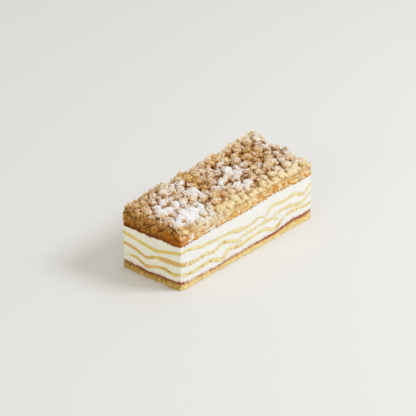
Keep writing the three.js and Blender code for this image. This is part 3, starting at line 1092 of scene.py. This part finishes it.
def flake(stops, thickness, seed):
    """A closed strip that lies half sunk in the cut face along a line."""
    line = smooth_path(stops)
    heading = np.gradient(line, axis=0)
    heading /= np.linalg.norm(heading, axis=1, keepdims=True)
    across = np.column_stack([-heading[:, 1], heading[:, 0]])
    share = np.linspace(0, 1, len(line))
    taper = np.sqrt(np.clip(np.sin(math.pi * np.clip(share, 0.004, 0.996)) * 3, 0, 1))
    wobble = 0.75 + 0.5 * soft_noise(np.column_stack([line / 2.5, share * 0]), 1, seed)
    half = 0.5 * thickness * taper * wobble
    sides = 10
    rings = []
    for turn in np.arange(sides) * math.tau / sides:
        spot = line + across * (half * math.cos(turn))[:, None]
        edge, normals = outline(spot[:, 0])
        flat = np.column_stack([edge, spot[:, 1]])
        out = math.sin(turn) * np.where(math.sin(turn) > 0, 0.32, 0.9) * taper
        out = out + cut_wobble(flat) + 0.3 * (layered_noise(flat, 1.5, seed + 3) - 0.5)
        rings.append(np.column_stack([edge + normals * out[:, None], spot[:, 1]]))
    points = np.stack(rings, 1).reshape(-1, 3)
    faces = []
    for i in range(len(line) - 1):
        for j in range(sides):
            a, b = i * sides + j, i * sides + (j + 1) % sides
            faces.append((a, b, b + sides, a + sides))
    last = (len(line) - 1) * sides
    faces.append(tuple(range(sides))[::-1])
    faces.append(tuple(range(last, last + sides)))
    return points, faces


def outward(piece):
    """Turns all faces of closed shells outwards."""
    form = bmesh.new()
    form.from_mesh(piece.data)
    bmesh.ops.recalc_face_normals(form, faces=form.faces)
    form.to_mesh(piece.data)
    form.free()


def make_flakes(finish):
    strips, veils = [], []
    for number, (stops, thickness, veil) in enumerate(FLAKES):
        points, faces = flake(stops, thickness, 400 + 9 * number)
        strips.append((points, faces))
        veils.append(np.full(len(points), veil))
    piece = new_object("choux_flakes", *gathered(strips), finish)
    outward(piece)
    paint(piece, smear=np.concatenate(veils), amber=0, brink=0, grit=0)
    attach(piece, BODY)


# Dabs of cream squeezed up against the lid: place on the rim, height, half width, half height.
DABS = [
    (front(-89), 50.8, 2.8, 1.0), (front(-85), 53.4, 2.2, 1.7), (front(-83.4), 55.2, 1.3, 1.0),
    (front(-57.5), 51.2, 3.4, 1.0), (front(-53), 51.7, 2.4, 0.9), (front(11.5), 50.6, 1.6, 0.8),
    (front(19.5), 49.4, 1.7, 0.9), (front(24.5), 48.9, 1.3, 0.8), (front(49), 51.0, 1.4, 0.6),
    (LENGTH + 30, 50.2, 2.6, 0.9),
    (LENGTH + WIDTH + 60, 50.6, 3.0, 1.0), (LENGTH + WIDTH + 140, 49.4, 2.4, 0.9),
]


def ball(subdivisions):
    """Points and faces of a round ball of radius 1."""
    form = bmesh.new()
    bmesh.ops.create_icosphere(form, subdivisions=subdivisions, radius=1)
    points = np.array([vertex.co for vertex in form.verts])
    faces = [[vertex.index for vertex in face.verts] for face in form.faces]
    form.free()
    return points, faces


def make_dabs(finish):
    unit, faces = ball(4)
    dabs = []
    thickness = 0.75
    for number, (place, height, half_width, half_height) in enumerate(DABS):
        lumpy = unit * (0.75 + 0.5 * layered_noise(unit, 0.9, 500 + number))[:, None]
        along = place + lumpy[:, 0] * half_width
        edge, normals = outline(along)
        spot = np.column_stack([edge, height + lumpy[:, 2] * half_height])
        out = lumpy[:, 1] * thickness + cut_wobble(spot)
        spot[:, :2] += normals * out[:, None]
        dabs.append((spot, faces))
    piece = new_object("cream_dabs", *gathered(dabs), finish)
    outward(piece)
    # The dabs on the left end get half of the cream's painted yellow shade.
    paint(piece, stain=0, edge=0, end=end_share(mesh_normals(piece)) * 0.5)
    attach(piece, BODY)


# Stretches of the lid's lower edge with crumbs clinging to the cream under it: where each begins
# and ends on the rim, and how many crumbs it has.
CLINGING = [
    (front(-96), front(-40), 12), (front(0), front(60), 18), (front(70), front(98), 4),
    (left(30), left(-30), 4), (LENGTH + 8, LENGTH + 68, 10),
    (LENGTH + WIDTH + 10, LENGTH + WIDTH + 190, 24),
]


def make_clinging_crumbs(finish):
    unit, faces = ball(2)
    random = np.random.default_rng(12)
    crumbs, tones = [], []
    for begin, end, count in CLINGING:
        for place in random.uniform(begin, end, count):
            size = random.uniform(0.25, 0.65, 3) * [1.3, 0.7, 1]
            lumpy = unit * (0.7 + 0.6 * soft_noise(unit + 5 * place, 0.8, 520))[:, None] * size
            edge, normals = outline(place + lumpy[:, 0])
            under = level(LID_UNDERSIDE, edge[:, 0], edge[:, 1]).mean() - random.uniform(0, 1.3)
            spot = np.column_stack([edge, under + lumpy[:, 2]])
            out = lumpy[:, 1] + cut_wobble(spot)
            spot[:, :2] += normals * out[:, None]
            crumbs.append((spot, faces))
            tones.append(np.full(len(unit), random.uniform(0, 1)))
    piece = new_object("clinging_crumbs", *gathered(crumbs), finish)
    outward(piece)
    paint(piece, tone=np.concatenate(tones), sugar=0)
    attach(piece, BODY)


# Streusel

# Small changes to the frame's crest: place, half size, and how much higher.
CREST_TRIMS = [
    ((-15, 12), (6, 26), -2.4), ((-60, -22), (10, 8), 1.0), ((-88, -18), (9, 9), 0.8),
    ((102, -37), (5, 5), -1.5), ((103, 39), (5, 5), -2.2), ((-90, 20), (5, 8), -2.0),
]

# How much higher or lower the crest is by the back edge, at places from the left, and by the
# right edge, at places from the front, and how far in that reaches.
BACK_RISES = [
    (-98, -4), (-92, -2.5), (-82, -4), (-74, 0), (-62, -1.5), (-56, 0), (-50, 3.5), (-44, -2.5),
    (-38, -6), (-32, -3), (-24, 0), (-14, 1), (-8, -4.5), (-2, -4.5), (4, 2), (10, 2.5), (16, 4.5),
    (22, 2.5), (28, 6), (34, 5.5), (40, 1), (46, -0.5), (58, 3), (70, -1.5), (76, 2), (88, -1),
    (100, -1),
]
RIGHT_RISES = [
    (-36, 4), (-30, 3.5), (-24, -4.5), (-18, -5.5), (-12, 1.5), (-6, 2), (6, -1), (12, -2),
    (18, -5), (24, -4), (30, 0), (36, 0.5),
]
RISE_REACH = 13

# How much lower the crest is at the very front, at places from the left, and at the very left,
# at places from the front.
FRONT_DROPS = [(-102, 4.0), (-60, 4.6), (-20, 6.6), (40, 7.6), (85, 6.0), (102, 3.4)]
LEFT_DROPS = [(-38, 2.2), (20, 1.8), (38, 0.6)]


def crest_map():
    """Height of the frame's streusel over a grid, as a smooth sheet over the lumps' tops."""
    node = frame["nodes"][STREUSEL]
    corners = [vertex.co for vertex in node.data.vertices]
    tree = BVHTree.FromPolygons(corners, [face.vertices for face in node.data.polygons])
    xs = np.arange(-HALF_LENGTH + 0.5, HALF_LENGTH, PLAN_PITCH)
    ys = np.arange(-HALF_WIDTH + 0.5, HALF_WIDTH, PLAN_PITCH)
    heights = np.zeros((len(xs), len(ys)))
    above, down = 0.2, Vector((0, 0, -1))
    for i, x in enumerate(xs):
        for j, y in enumerate(ys):
            hit = tree.ray_cast(Vector((x * MM, y * MM, above)), down)[0]
            heights[i, j] = hit.z / MM
    for spread in [np.max] * 2 + [np.mean] * 3:
        padded = np.pad(heights, 1, mode="edge")
        shifts = [padded[a:a + len(xs), b:b + len(ys)] for a in range(3) for b in range(3)]
        heights = spread(shifts, axis=0)
    x, y = np.meshgrid(xs, ys, indexing="ij")
    for (px, py), (rx, ry), change in CREST_TRIMS:
        heights = heights + change * np.exp(-((x - px) / rx) ** 2 - ((y - py) / ry) ** 2)
    back = np.interp(x, *zip(*BACK_RISES))
    right = np.interp(y, *zip(*RIGHT_RISES))
    heights = heights + back * smooth_step(RISE_REACH, RISE_REACH / 3, HALF_WIDTH - y)
    heights = heights + right * smooth_step(RISE_REACH, RISE_REACH / 3, HALF_LENGTH - x)
    return xs, ys, heights + RAISED


CREST_X, CREST_Y, CREST_Z = crest_map()


def edge_drop(x, y):
    """How much lower the crest lies by the front, left and right edges, which are rounded."""
    front_drop = np.interp(x, *zip(*FRONT_DROPS)) * smooth_step(11, -1, y + HALF_WIDTH)
    left_drop = np.interp(y, *zip(*LEFT_DROPS)) * smooth_step(6, 0, x + HALF_LENGTH)
    right_drop = 0.6 * smooth_step(5, 0, HALF_LENGTH - x)
    return np.maximum(np.maximum(front_drop, left_drop), right_drop)


def crest(x, y):
    """Height of the streusel's tops at any places in the plan."""
    i = np.clip((x - CREST_X[0]) / (CREST_X[1] - CREST_X[0]), 0, len(CREST_X) - 1.001)
    j = np.clip((y - CREST_Y[0]) / (CREST_Y[1] - CREST_Y[0]), 0, len(CREST_Y) - 1.001)
    i0, j0 = i.astype(int), j.astype(int)
    u, v = i - i0, j - j0
    lower = CREST_Z[i0, j0] * (1 - u) + CREST_Z[i0 + 1, j0] * u
    upper = CREST_Z[i0, j0 + 1] * (1 - u) + CREST_Z[i0 + 1, j0 + 1] * u
    return lower * (1 - v) + upper * v - edge_drop(x, y)


def plan_sheet(name, reach, left_edge=0, front_edge=0, back_edge=WIDTH):
    """A flat open sheet over the plan. It reaches past the cut faces, or begins and ends at
    distances from the left and front faces."""
    back = back_edge - HALF_WIDTH + reach
    xs = np.arange(left_edge - HALF_LENGTH - reach, HALF_LENGTH + reach + 1, PLAN_PITCH)
    ys = np.arange(front_edge - HALF_WIDTH - reach, back + 1, PLAN_PITCH)
    x, y = (side.ravel() for side in np.meshgrid(xs, ys, indexing="ij"))
    points = np.column_stack([x, y, x * 0])
    rows = len(ys)
    faces = []
    for i in range(len(xs) - 1):
        for j in range(rows - 1):
            a = i * rows + j
            faces.append((a, a + rows, a + rows + 1, a + 1))
    return new_object(name, points, faces), len(xs), rows


def core_sink(x, y):
    inset = np.minimum(HALF_LENGTH - np.abs(x), HALF_WIDTH - np.abs(y))
    deepest = np.interp(x, *CORE_DEPTHS)
    deepest = deepest + (CORE_DEPTHS[1][-1] - deepest) * smooth_step(0, 16, y)
    filled = smooth_step(0.75, 1.15, sugar_cover(np.column_stack([x, y])))
    deepest = deepest * (1 - 0.45 * filled)
    rim = CORE_RIM_DEPTH - 1.1 * smooth_step(16, 4, y + HALF_WIDTH)
    return rim + (deepest - rim) * smooth_step(0, CORE_SHOULDER, inset)


def core_block():
    """The plain heap under the lumps, which comes closer to their tops at the rim and where
    sugar fills the gaps."""
    sheet, columns, rows = plan_sheet("core_top", 3)
    top = mesh_points(sheet)
    top[:, 2] = crest(top[:, 0], top[:, 1]) - core_sink(top[:, 0], top[:, 1])
    faces = [list(face.vertices) for face in sheet.data.polygons]
    bpy.data.objects.remove(sheet)
    bottom = top.copy()
    bottom[:, 2] = CORE_FOOT
    count = len(top)
    edge = list(range(rows))
    edge += [i * rows + rows - 1 for i in range(1, columns)]
    edge += [(columns - 1) * rows + j for j in range(rows - 2, -1, -1)]
    edge += [i * rows for i in range(columns - 2, 0, -1)]
    under = [[count + v for v in face[::-1]] for face in faces]
    walls = [[a, b, count + b, count + a] for a, b in zip(edge, edge[1:] + edge[:1])]
    return new_object("core", np.concatenate([top, bottom]), faces + under + walls)


def lump_kinds(name, count, subdivisions):
    """A collection of rough lumps of about unit radius, each a few balls run together."""
    collection = bpy.data.collections.new(name)
    random = np.random.default_rng(5)
    unit, faces = ball(subdivisions)
    for kind in range(count):
        reach = np.full(len(unit), 0.76)
        for _ in range(8):
            centre = random.normal(size=3)
            centre *= random.uniform(0.36, 0.58) / np.linalg.norm(centre)
            girth = random.uniform(0.4, 0.56)
            ahead = unit @ centre
            inside = girth ** 2 - centre @ centre + ahead ** 2
            surface = np.where(inside > 0, ahead + np.sqrt(np.maximum(inside, 0)), 0)
            reach = np.maximum(reach, surface)
        rough = 0.14 * (layered_noise(unit + 9 * kind, 0.6, 300 + kind) - 0.5)
        points = unit * (reach + rough)[:, None] * random.uniform(0.82, 1.2, 3)
        mesh = bpy.data.meshes.new(f"{name}_{kind}")
        mesh.from_pydata(points.tolist(), [], faces)
        collection.objects.link(bpy.data.objects.new(f"{name}_{kind}", mesh))
    return collection


class Strewing:
    """Geometry nodes that strew turned, sized lumps over a surface, each with its own tone, and
    lift them by the height painted on it, if any."""

    INPUTS = {
        "Geometry": "NodeSocketGeometry", "Lumps": "NodeSocketCollection",
        "Pitch": "NodeSocketFloat", "Smallest": "NodeSocketFloat", "Largest": "NodeSocketFloat",
        "Rise": "NodeSocketFloat", "Turn": "NodeSocketFloat", "Stretch": "NodeSocketFloat",
        "Seed": "NodeSocketInt",
    }

    def __init__(self, name, material):
        self.tree = bpy.data.node_groups.new(name, "GeometryNodeTree")
        interface = self.tree.interface
        self.inputs = {
            label: interface.new_socket(label, in_out="INPUT", socket_type=kind)
            for label, kind in self.INPUTS.items()
        }
        interface.new_socket("Geometry", in_out="OUTPUT", socket_type="NodeSocketGeometry")
        given = self.node("NodeGroupInput").outputs
        spread = self.node("GeometryNodeDistributePointsOnFaces", {
            "Mesh": given["Geometry"], "Distance Min": given["Pitch"], "Seed": given["Seed"],
            "Density Max": 90000.0,
        }, distribute_method="POISSON")
        height = self.node("GeometryNodeInputNamedAttribute", {"Name": "height"}, data_type="FLOAT")
        lift = self.node("ShaderNodeMath", {
            0: self.product(self.random(-1.0, 1.0, 1), given["Rise"]), 1: height.outputs[0],
        }, operation="ADD").outputs[0]
        moved = self.node("GeometryNodeSetPosition", {
            "Geometry": spread.outputs["Points"], "Offset": self.vector(0.0, 0.0, lift),
        })
        kinds = self.node("GeometryNodeCollectionInfo", {
            "Collection": given["Lumps"], "Separate Children": True, "Reset Children": True,
        })
        turn = self.vector(self.product(self.random(-1.0, 1.0, 2), given["Turn"]),
                           self.random(0.0, math.tau, 5),
                           self.product(self.random(-1.0, 1.0, 6), given["Turn"]))
        girth = self.random(given["Smallest"], given["Largest"], 3)
        placed = self.node("GeometryNodeInstanceOnPoints", {
            "Points": moved.outputs[0], "Instance": kinds.outputs["Instances"],
            "Pick Instance": True, "Rotation": turn,
            "Scale": self.vector(girth, self.product(girth, given["Stretch"]), girth),
        })
        toned = self.node("GeometryNodeStoreNamedAttribute", {
            "Geometry": placed.outputs["Instances"], "Name": "tone",
            "Value": self.random(0.0, 1.0, 4),
        }, data_type="FLOAT", domain="INSTANCE")
        real = self.node("GeometryNodeRealizeInstances", {"Geometry": toned.outputs[0]})
        dressed = self.node("GeometryNodeSetMaterial", {
            "Geometry": real.outputs[0], "Material": material,
        })
        self.node("NodeGroupOutput", {"Geometry": dressed.outputs[0]})

    def node(self, kind, inputs=None, **settings):
        made = self.tree.nodes.new(kind)
        for key, value in settings.items():
            setattr(made, key, value)
        for key, value in (inputs or {}).items():
            if isinstance(value, bpy.types.NodeSocket):
                self.tree.links.new(value, made.inputs[key])
            else:
                made.inputs[key].default_value = value
        return made

    def random(self, low, high, seed):
        return self.node("FunctionNodeRandomValue", {2: low, 3: high, "Seed": seed},
                         data_type="FLOAT").outputs[1]

    def product(self, a, b):
        return self.node("ShaderNodeMath", {0: a, 1: b}, operation="MULTIPLY").outputs[0]

    def vector(self, x, y, z):
        return self.node("ShaderNodeCombineXYZ", {"X": x, "Y": y, "Z": z}).outputs[0]

    def over(self, sheet, lumps, kind, seed):
        """Lumps of a kind strewn over a sheet, as a plain mesh on the sheet's own object."""
        pitch, radii, _, rise, turn, stretch = kind
        modifier = sheet.modifiers.new("strewn", "NODES")
        modifier.node_group = self.tree
        values = {
            "Lumps": lumps, "Pitch": pitch * MM, "Smallest": radii[0] * MM,
            "Largest": radii[1] * MM, "Rise": rise * MM, "Turn": turn,
            "Stretch": stretch, "Seed": seed,
        }
        for label, value in values.items():
            modifier[self.inputs[label].identifier] = value
        return finished(sheet)


def read_tones(piece):
    tones = np.empty(len(piece.data.vertices), np.float32)
    piece.data.attributes["tone"].data.foreach_get("value", tones)
    return tones


# Patches on the top where the icing sugar is thicker or thinner than elsewhere: middle, half
# size and strength.
SUGAR_PATCHES = [
    ((-84, -4), (12, 9), 0.66), ((-68, -22), (21, 11), 0.88), ((-37, 2), (11, 16), 0.52),
    ((-91, -27), (6, 6), 0.9), ((-60, -34), (11, 5), 0.5), ((-79, 11), (9, 8), 0.6),
    ((-50, -19), (8, 8), 0.62), ((-64, 0), (9, 9), 0.55),
    ((24, 6), (18, 17), 0.5), ((14, -18), (11, 7), 0.7), ((-4, -4), (8, 6), 0.6),
    ((72, -19), (9, 8), 0.3), ((-60, 22), (16, 10), 0.2), ((-36, 22), (9, 12), 0.45),
    ((-47, -30), (8, 6), 0.4), ((89, 12), (12, 26), 0.34), ((58, -8), (8, 8), 0.2),
]
BARE_PATCHES = [
    ((-18, 16), (10, 22), 0.28), ((64, 8), (24, 30), 0.16), ((-92, 24), (14, 14), 0.18),
    ((-100, -20), (8, 10), 0.1), ((20, -35), (75, 8), 0.3), ((-88, -37), (16, 6), 0.5),
    ((-34, -33), (11, 9), 0.62), ((-20, -18), (9, 10), 0.2), ((25, 31), (12, 7), 0.22),
    ((-50, 1), (6, 9), 0.15), ((-64, 31), (9, 6), 0.2), ((40, -6), (7, 8), 0.15),
]
SUGAR_EVERYWHERE = 0.38

# Where the gaps between the lumps are painted darker, as shade; there the sugar is a little thinner
# too.
SHADE_PATCHES = [
    ((-90, 20), (7, 9), 0.7), ((-68, 23), (5, 8), 0.9), ((-80, 34), (10, 5), 0.5),
    ((-50, 30), (8, 5), 0.5), ((-21, 4), (5, 14), 0.8), ((2, 15), (7, 7), 0.7),
    ((-14, 24), (8, 8), 0.5), ((50, 4), (6, 9), 0.7), ((74, 16), (9, 9), 0.7),
    ((60, -4), (7, 7), 0.5), ((-52, 8), (4, 5), 0.5), ((30, -14), (6, 6), 0.4),
    ((84, -2), (8, 8), 0.4),
]


def patchy(patches, points):
    """The strength of the strongest of some soft-edged patches over the plan."""
    def strength(patch):
        (px, py), (rx, ry), most = patch
        far = ((points[:, 0] - px) / rx) ** 2 + ((points[:, 1] - py) / ry) ** 2
        return most * np.exp(-far * 1.1)
    return np.max([strength(patch) for patch in patches], axis=0)


def sugar_cover(points):
    """How thickly the sugar lies over the plan, from 0 to about 1."""
    cover = patchy(SUGAR_PATCHES, points) + SUGAR_EVERYWHERE
    return np.clip(cover - patchy(BARE_PATCHES, points) - 0.15 * patchy(SHADE_PATCHES, points), 0, 1.2)


# How far the cut sides lean in towards the crest, round the rim.
LEAN = rim_table([
    (front(-98), 1.2), (front(98), 1.2), (LENGTH + 6, 2.0), (LENGTH + 70, 2.0),
    (LENGTH + WIDTH + 6, 0.8), (left(34), 0.6), (left(0), 0.8), (left(-34), 1.2),
])
LEAN_DEPTH = 7


def broken_lumps(points):
    """The lumps that show in a cut face: how high each stands, and 1 in the gaps between."""
    nearest, value = cell_lumps(points, 7, 75)
    return value, smooth_step(0.45, 0.75, nearest)


def topping_cut(points, place):
    """How far out the cut sides of the streusel stand: broken lumps, pores and a leaning edge."""
    depth = crest(points[:, 0], points[:, 1]) - points[:, 2]
    uneven = 0.55 + 0.9 * soft_noise(points, 8, 79)
    lean = at_rim(LEAN, place) * uneven * smooth_step(LEAN_DEPTH, 0, depth) ** 1.4
    value, gap = broken_lumps(points)
    in_front = between(place, front(0), HALF_LENGTH)
    coarse = 1.9 - in_front * (0.9 - 0.5 * toast_share(points))
    coarse = coarse * (1 - 0.5 * smooth_step(26, 36, points[:, 1]))
    groove = 0.9 * in_front * np.exp(-((points[:, 2] - 58.5) / 2.2) ** 2)
    broken = 1.0 * (value - 0.6) - 0.6 * gap
    rough = 0.9 * (layered_noise(points, 2.4, 76) - 0.5)
    pits = 0.25 * coarse ** 2 * pores(points, 3.4, 77, 0.42)
    return coarse * (broken + rough - 0.55 * cracked(points)) - pits - lean - groove


def make_streusel(finish, strewing):
    lumps = lump_kinds("lump", LUMP_KINDS, 3)
    strewn = []
    for name, kind, ends, seed in (
        ("big_lumps", BIG_LUMPS, (0, EDGE_STRIP + 2), 3),
        ("small_lumps", SMALL_LUMPS, (0, EDGE_STRIP + 1), 11),
        ("edge_lumps", EDGE_LUMPS, (0, EDGE_STRIP, EDGE_STRIP), 7),
    ):
        sheet = plan_sheet(name, 4, *ends)[0]
        x, y, _ = mesh_points(sheet).T
        paint(sheet, height=(crest(x, y) - kind[2]) * MM)
        strewn.append(strewing.over(sheet, lumps, kind, seed))
    tone_points = np.concatenate([mesh_points(piece) for piece in strewn])
    tones = np.concatenate([read_tones(piece) for piece in strewn])
    heap = remeshed(joined("heap", strewn + [core_block()]), FUSING_VOXEL)
    keep_largest_shell(heap)

    def low(x, y):
        return level(LID_TOP, x, y)

    def high(x, y):
        return np.full_like(x, CUT_TOP)

    block = slab("block", low, high, topping_cut, None, CUT_RIM_POINTS, CUT_ROW_PITCH)[0]
    cut = heap.modifiers.new("cut", "BOOLEAN")
    cut.operation = "INTERSECT"
    cut.solver = "MANIFOLD"
    cut.object = block
    finished(heap)
    bpy.data.objects.remove(block)
    keep_largest_shell(heap)
    heap.name = STREUSEL + "_look"
    dress_streusel(heap, tone_points, tones, finish)
    return heap


def nearest_values(points, known, values):
    finder = KDTree(len(known))
    for index, point in enumerate(known):
        finder.insert(point, index)
    finder.balance()
    return values[np.array([finder.find(point)[1] for point in points])]


def share_on_cut(points):
    """1 for points of the streusel on its cut sides."""
    place = rim_place(points[:, 0], points[:, 1])
    edge = np.column_stack([outline(place)[0], points[:, 2]])
    inset = depth_inside(points)
    gap = inset + cut_wobble(edge) + topping_cut(edge, place)
    depth = crest(points[:, 0], points[:, 1]) - points[:, 2]
    low = smooth_step(4.0, 5.0, depth) * smooth_step(4.5, 3.5, inset)
    return np.maximum(low, 1 - smooth_step(0.3, 0.8, np.abs(gap)))


def dress_streusel(heap, tone_points, tones, finish):
    points, normals = mesh_points(heap), mesh_normals(heap)
    calm = np.maximum(pale_share(points), smooth_step(-20, -60, points[:, 0]))
    knobs = (1 - 0.3 * calm) * (0.45 - cell_lumps(points, 2.5, 85)[0])
    grain = 0.6 * (layered_noise(points, 1.4, 81) - 0.5)
    points = points + normals * ((knobs + grain) * (1 - share_on_cut(points)))[:, None]
    tall = points[:, 2] - crest(points[:, 0], points[:, 1]) - 0.2
    points[:, 2] -= 0.6 * np.maximum(tall, 0)
    move_points(heap, points)
    thinned(heap, STREUSEL_TRIANGLES)
    shade_smooth(heap)
    points, normals = mesh_points(heap), mesh_normals(heap)
    on_cut = share_on_cut(points)
    tone = nearest_values(points, tone_points, tones)
    tone = np.clip(tone + 0.2 * smooth_step(-62, -88, points[:, 0]), 0, 1)
    depth = crest(points[:, 0], points[:, 1]) - points[:, 2]
    paint(heap, tone=tone, up=normals[:, 2], depth=depth)
    paint_cut(heap, points)
    paint(
        heap,
        cut=on_cut,
        end=end_share(normals) * on_cut,
        sugar=sugar_cover(points),
        pale=pale_share(points),
        dark=patchy(SHADE_PATCHES, points),
        # hollow carries the painted shade in the crevices.
        hollow=hollows(heap),
    )
    heap.data.materials.clear()
    heap.data.materials.append(finish)
    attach(heap, BODY)
    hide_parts(STREUSEL)


def upper_faces(name, piece):
    """An object with only the faces of a piece that look up and lie near the crest."""
    polygons = piece.data.polygons
    normals = vectors(polygons, "normal")
    centres = vectors(polygons, "center") / MM
    near_crest = crest(centres[:, 0], centres[:, 1]) - centres[:, 2] < 3.5
    wanted = (normals[:, 2] > 0.45) & near_crest & (depth_inside(centres) > 1.5)
    faces = [list(face.vertices) for face, keep in zip(polygons, wanted) if keep]
    used, flat = np.unique(np.concatenate(faces), return_inverse=True)
    splits = np.cumsum([len(face) for face in faces])[:-1]
    faces = [part.tolist() for part in np.split(flat, splits)]
    return new_object(name, mesh_points(piece)[used], faces)


def make_crumbs(heap, strewing, finish):
    kinds = lump_kinds("crumb", 4, 2)
    crumbs = upper_faces("loose_crumbs", heap)
    strewing.over(crumbs, kinds, LOOSE_CRUMBS, 21)
    crumbs.data.materials.clear()
    crumbs.data.materials.append(finish)
    shade_smooth(crumbs)
    paint(crumbs, sugar=sugar_cover(mesh_points(crumbs)))
    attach(crumbs, BODY)


# Camera, light and floor

def make_camera():
    e, az = math.radians(CAMERA_ELEVATION), math.radians(CAMERA_AZIMUTH)
    back = Vector((math.sin(az) * math.cos(e), -math.cos(az) * math.cos(e), math.sin(e)))
    side = Vector((math.cos(az), math.sin(az), 0))
    rise = back.cross(side)
    place = Vector(CAMERA_TARGET) + back * CAMERA_DISTANCE + side * CAMERA_SIDE + rise * CAMERA_RISE
    data = bpy.data.cameras.new("camera")
    data.sensor_width = SENSOR_WIDTH
    data.lens = SENSOR_WIDTH * FOCAL_PIXELS / FRAME_PIXELS
    data.clip_end = 20
    camera = bpy.data.objects.new("camera", data)
    turn = Matrix((side, rise, back)).transposed().to_4x4()
    camera.matrix_world = Matrix.Translation(place * MM) @ turn
    bpy.context.scene.collection.objects.link(camera)
    bpy.context.scene.camera = camera


def make_lamp(direction, power, color):
    data = bpy.data.lights.new("soft_lamp", "AREA")
    data.shape = "DISK"
    data.size = LAMP_SIZE
    data.energy = power
    data.color = color
    lamp = bpy.data.objects.new("soft_lamp", data)
    towards = Vector(direction).normalized()
    lamp.location = towards * LAMP_DISTANCE
    lamp.rotation_euler = towards.to_track_quat("Z", "Y").to_euler()
    bpy.context.scene.collection.objects.link(lamp)


def make_stage():
    f = Finish("pale_floor")
    material = f.surface(FLOOR_COLOR, 0.9, f.bump(f.noise(1.5, 2), 0.1))
    reach = 4000
    corners = [(-reach, -reach, 0), (reach, -reach, 0), (reach, reach, 0), (-reach, reach, 0)]
    new_object("floor", corners, [(0, 1, 2, 3)], material)
    for lamp in LAMPS:
        make_lamp(*lamp)
    world = bpy.data.worlds.new("soft_room")
    world.use_nodes = True
    room = world.node_tree.nodes["Background"]
    room.inputs["Color"].default_value = (*ROOM_COLOR, 1)
    room.inputs["Strength"].default_value = ROOM_STRENGTH
    bpy.context.scene.world = world
    bpy.context.scene.view_settings.view_transform = "Standard"


def main():
    make_camera()
    make_stage()
    finishes = {
        "shortcrust": shortcrust_finish(),
        "jam": jam_finish(),
        "cream": cream_finish(),
        "choux": choux_finish(),
        "baked_choux": baked_choux_finish(),
    }
    make_layers(finishes)
    make_flakes(finishes["choux"])
    make_dabs(finishes["cream"])
    streusel = streusel_finish()
    strewing = Strewing("strewn_lumps", streusel)
    heap = make_streusel(streusel, strewing)
    crumbs = crumb_finish()
    make_crumbs(heap, strewing, crumbs)
    make_clinging_crumbs(crumbs)


main()
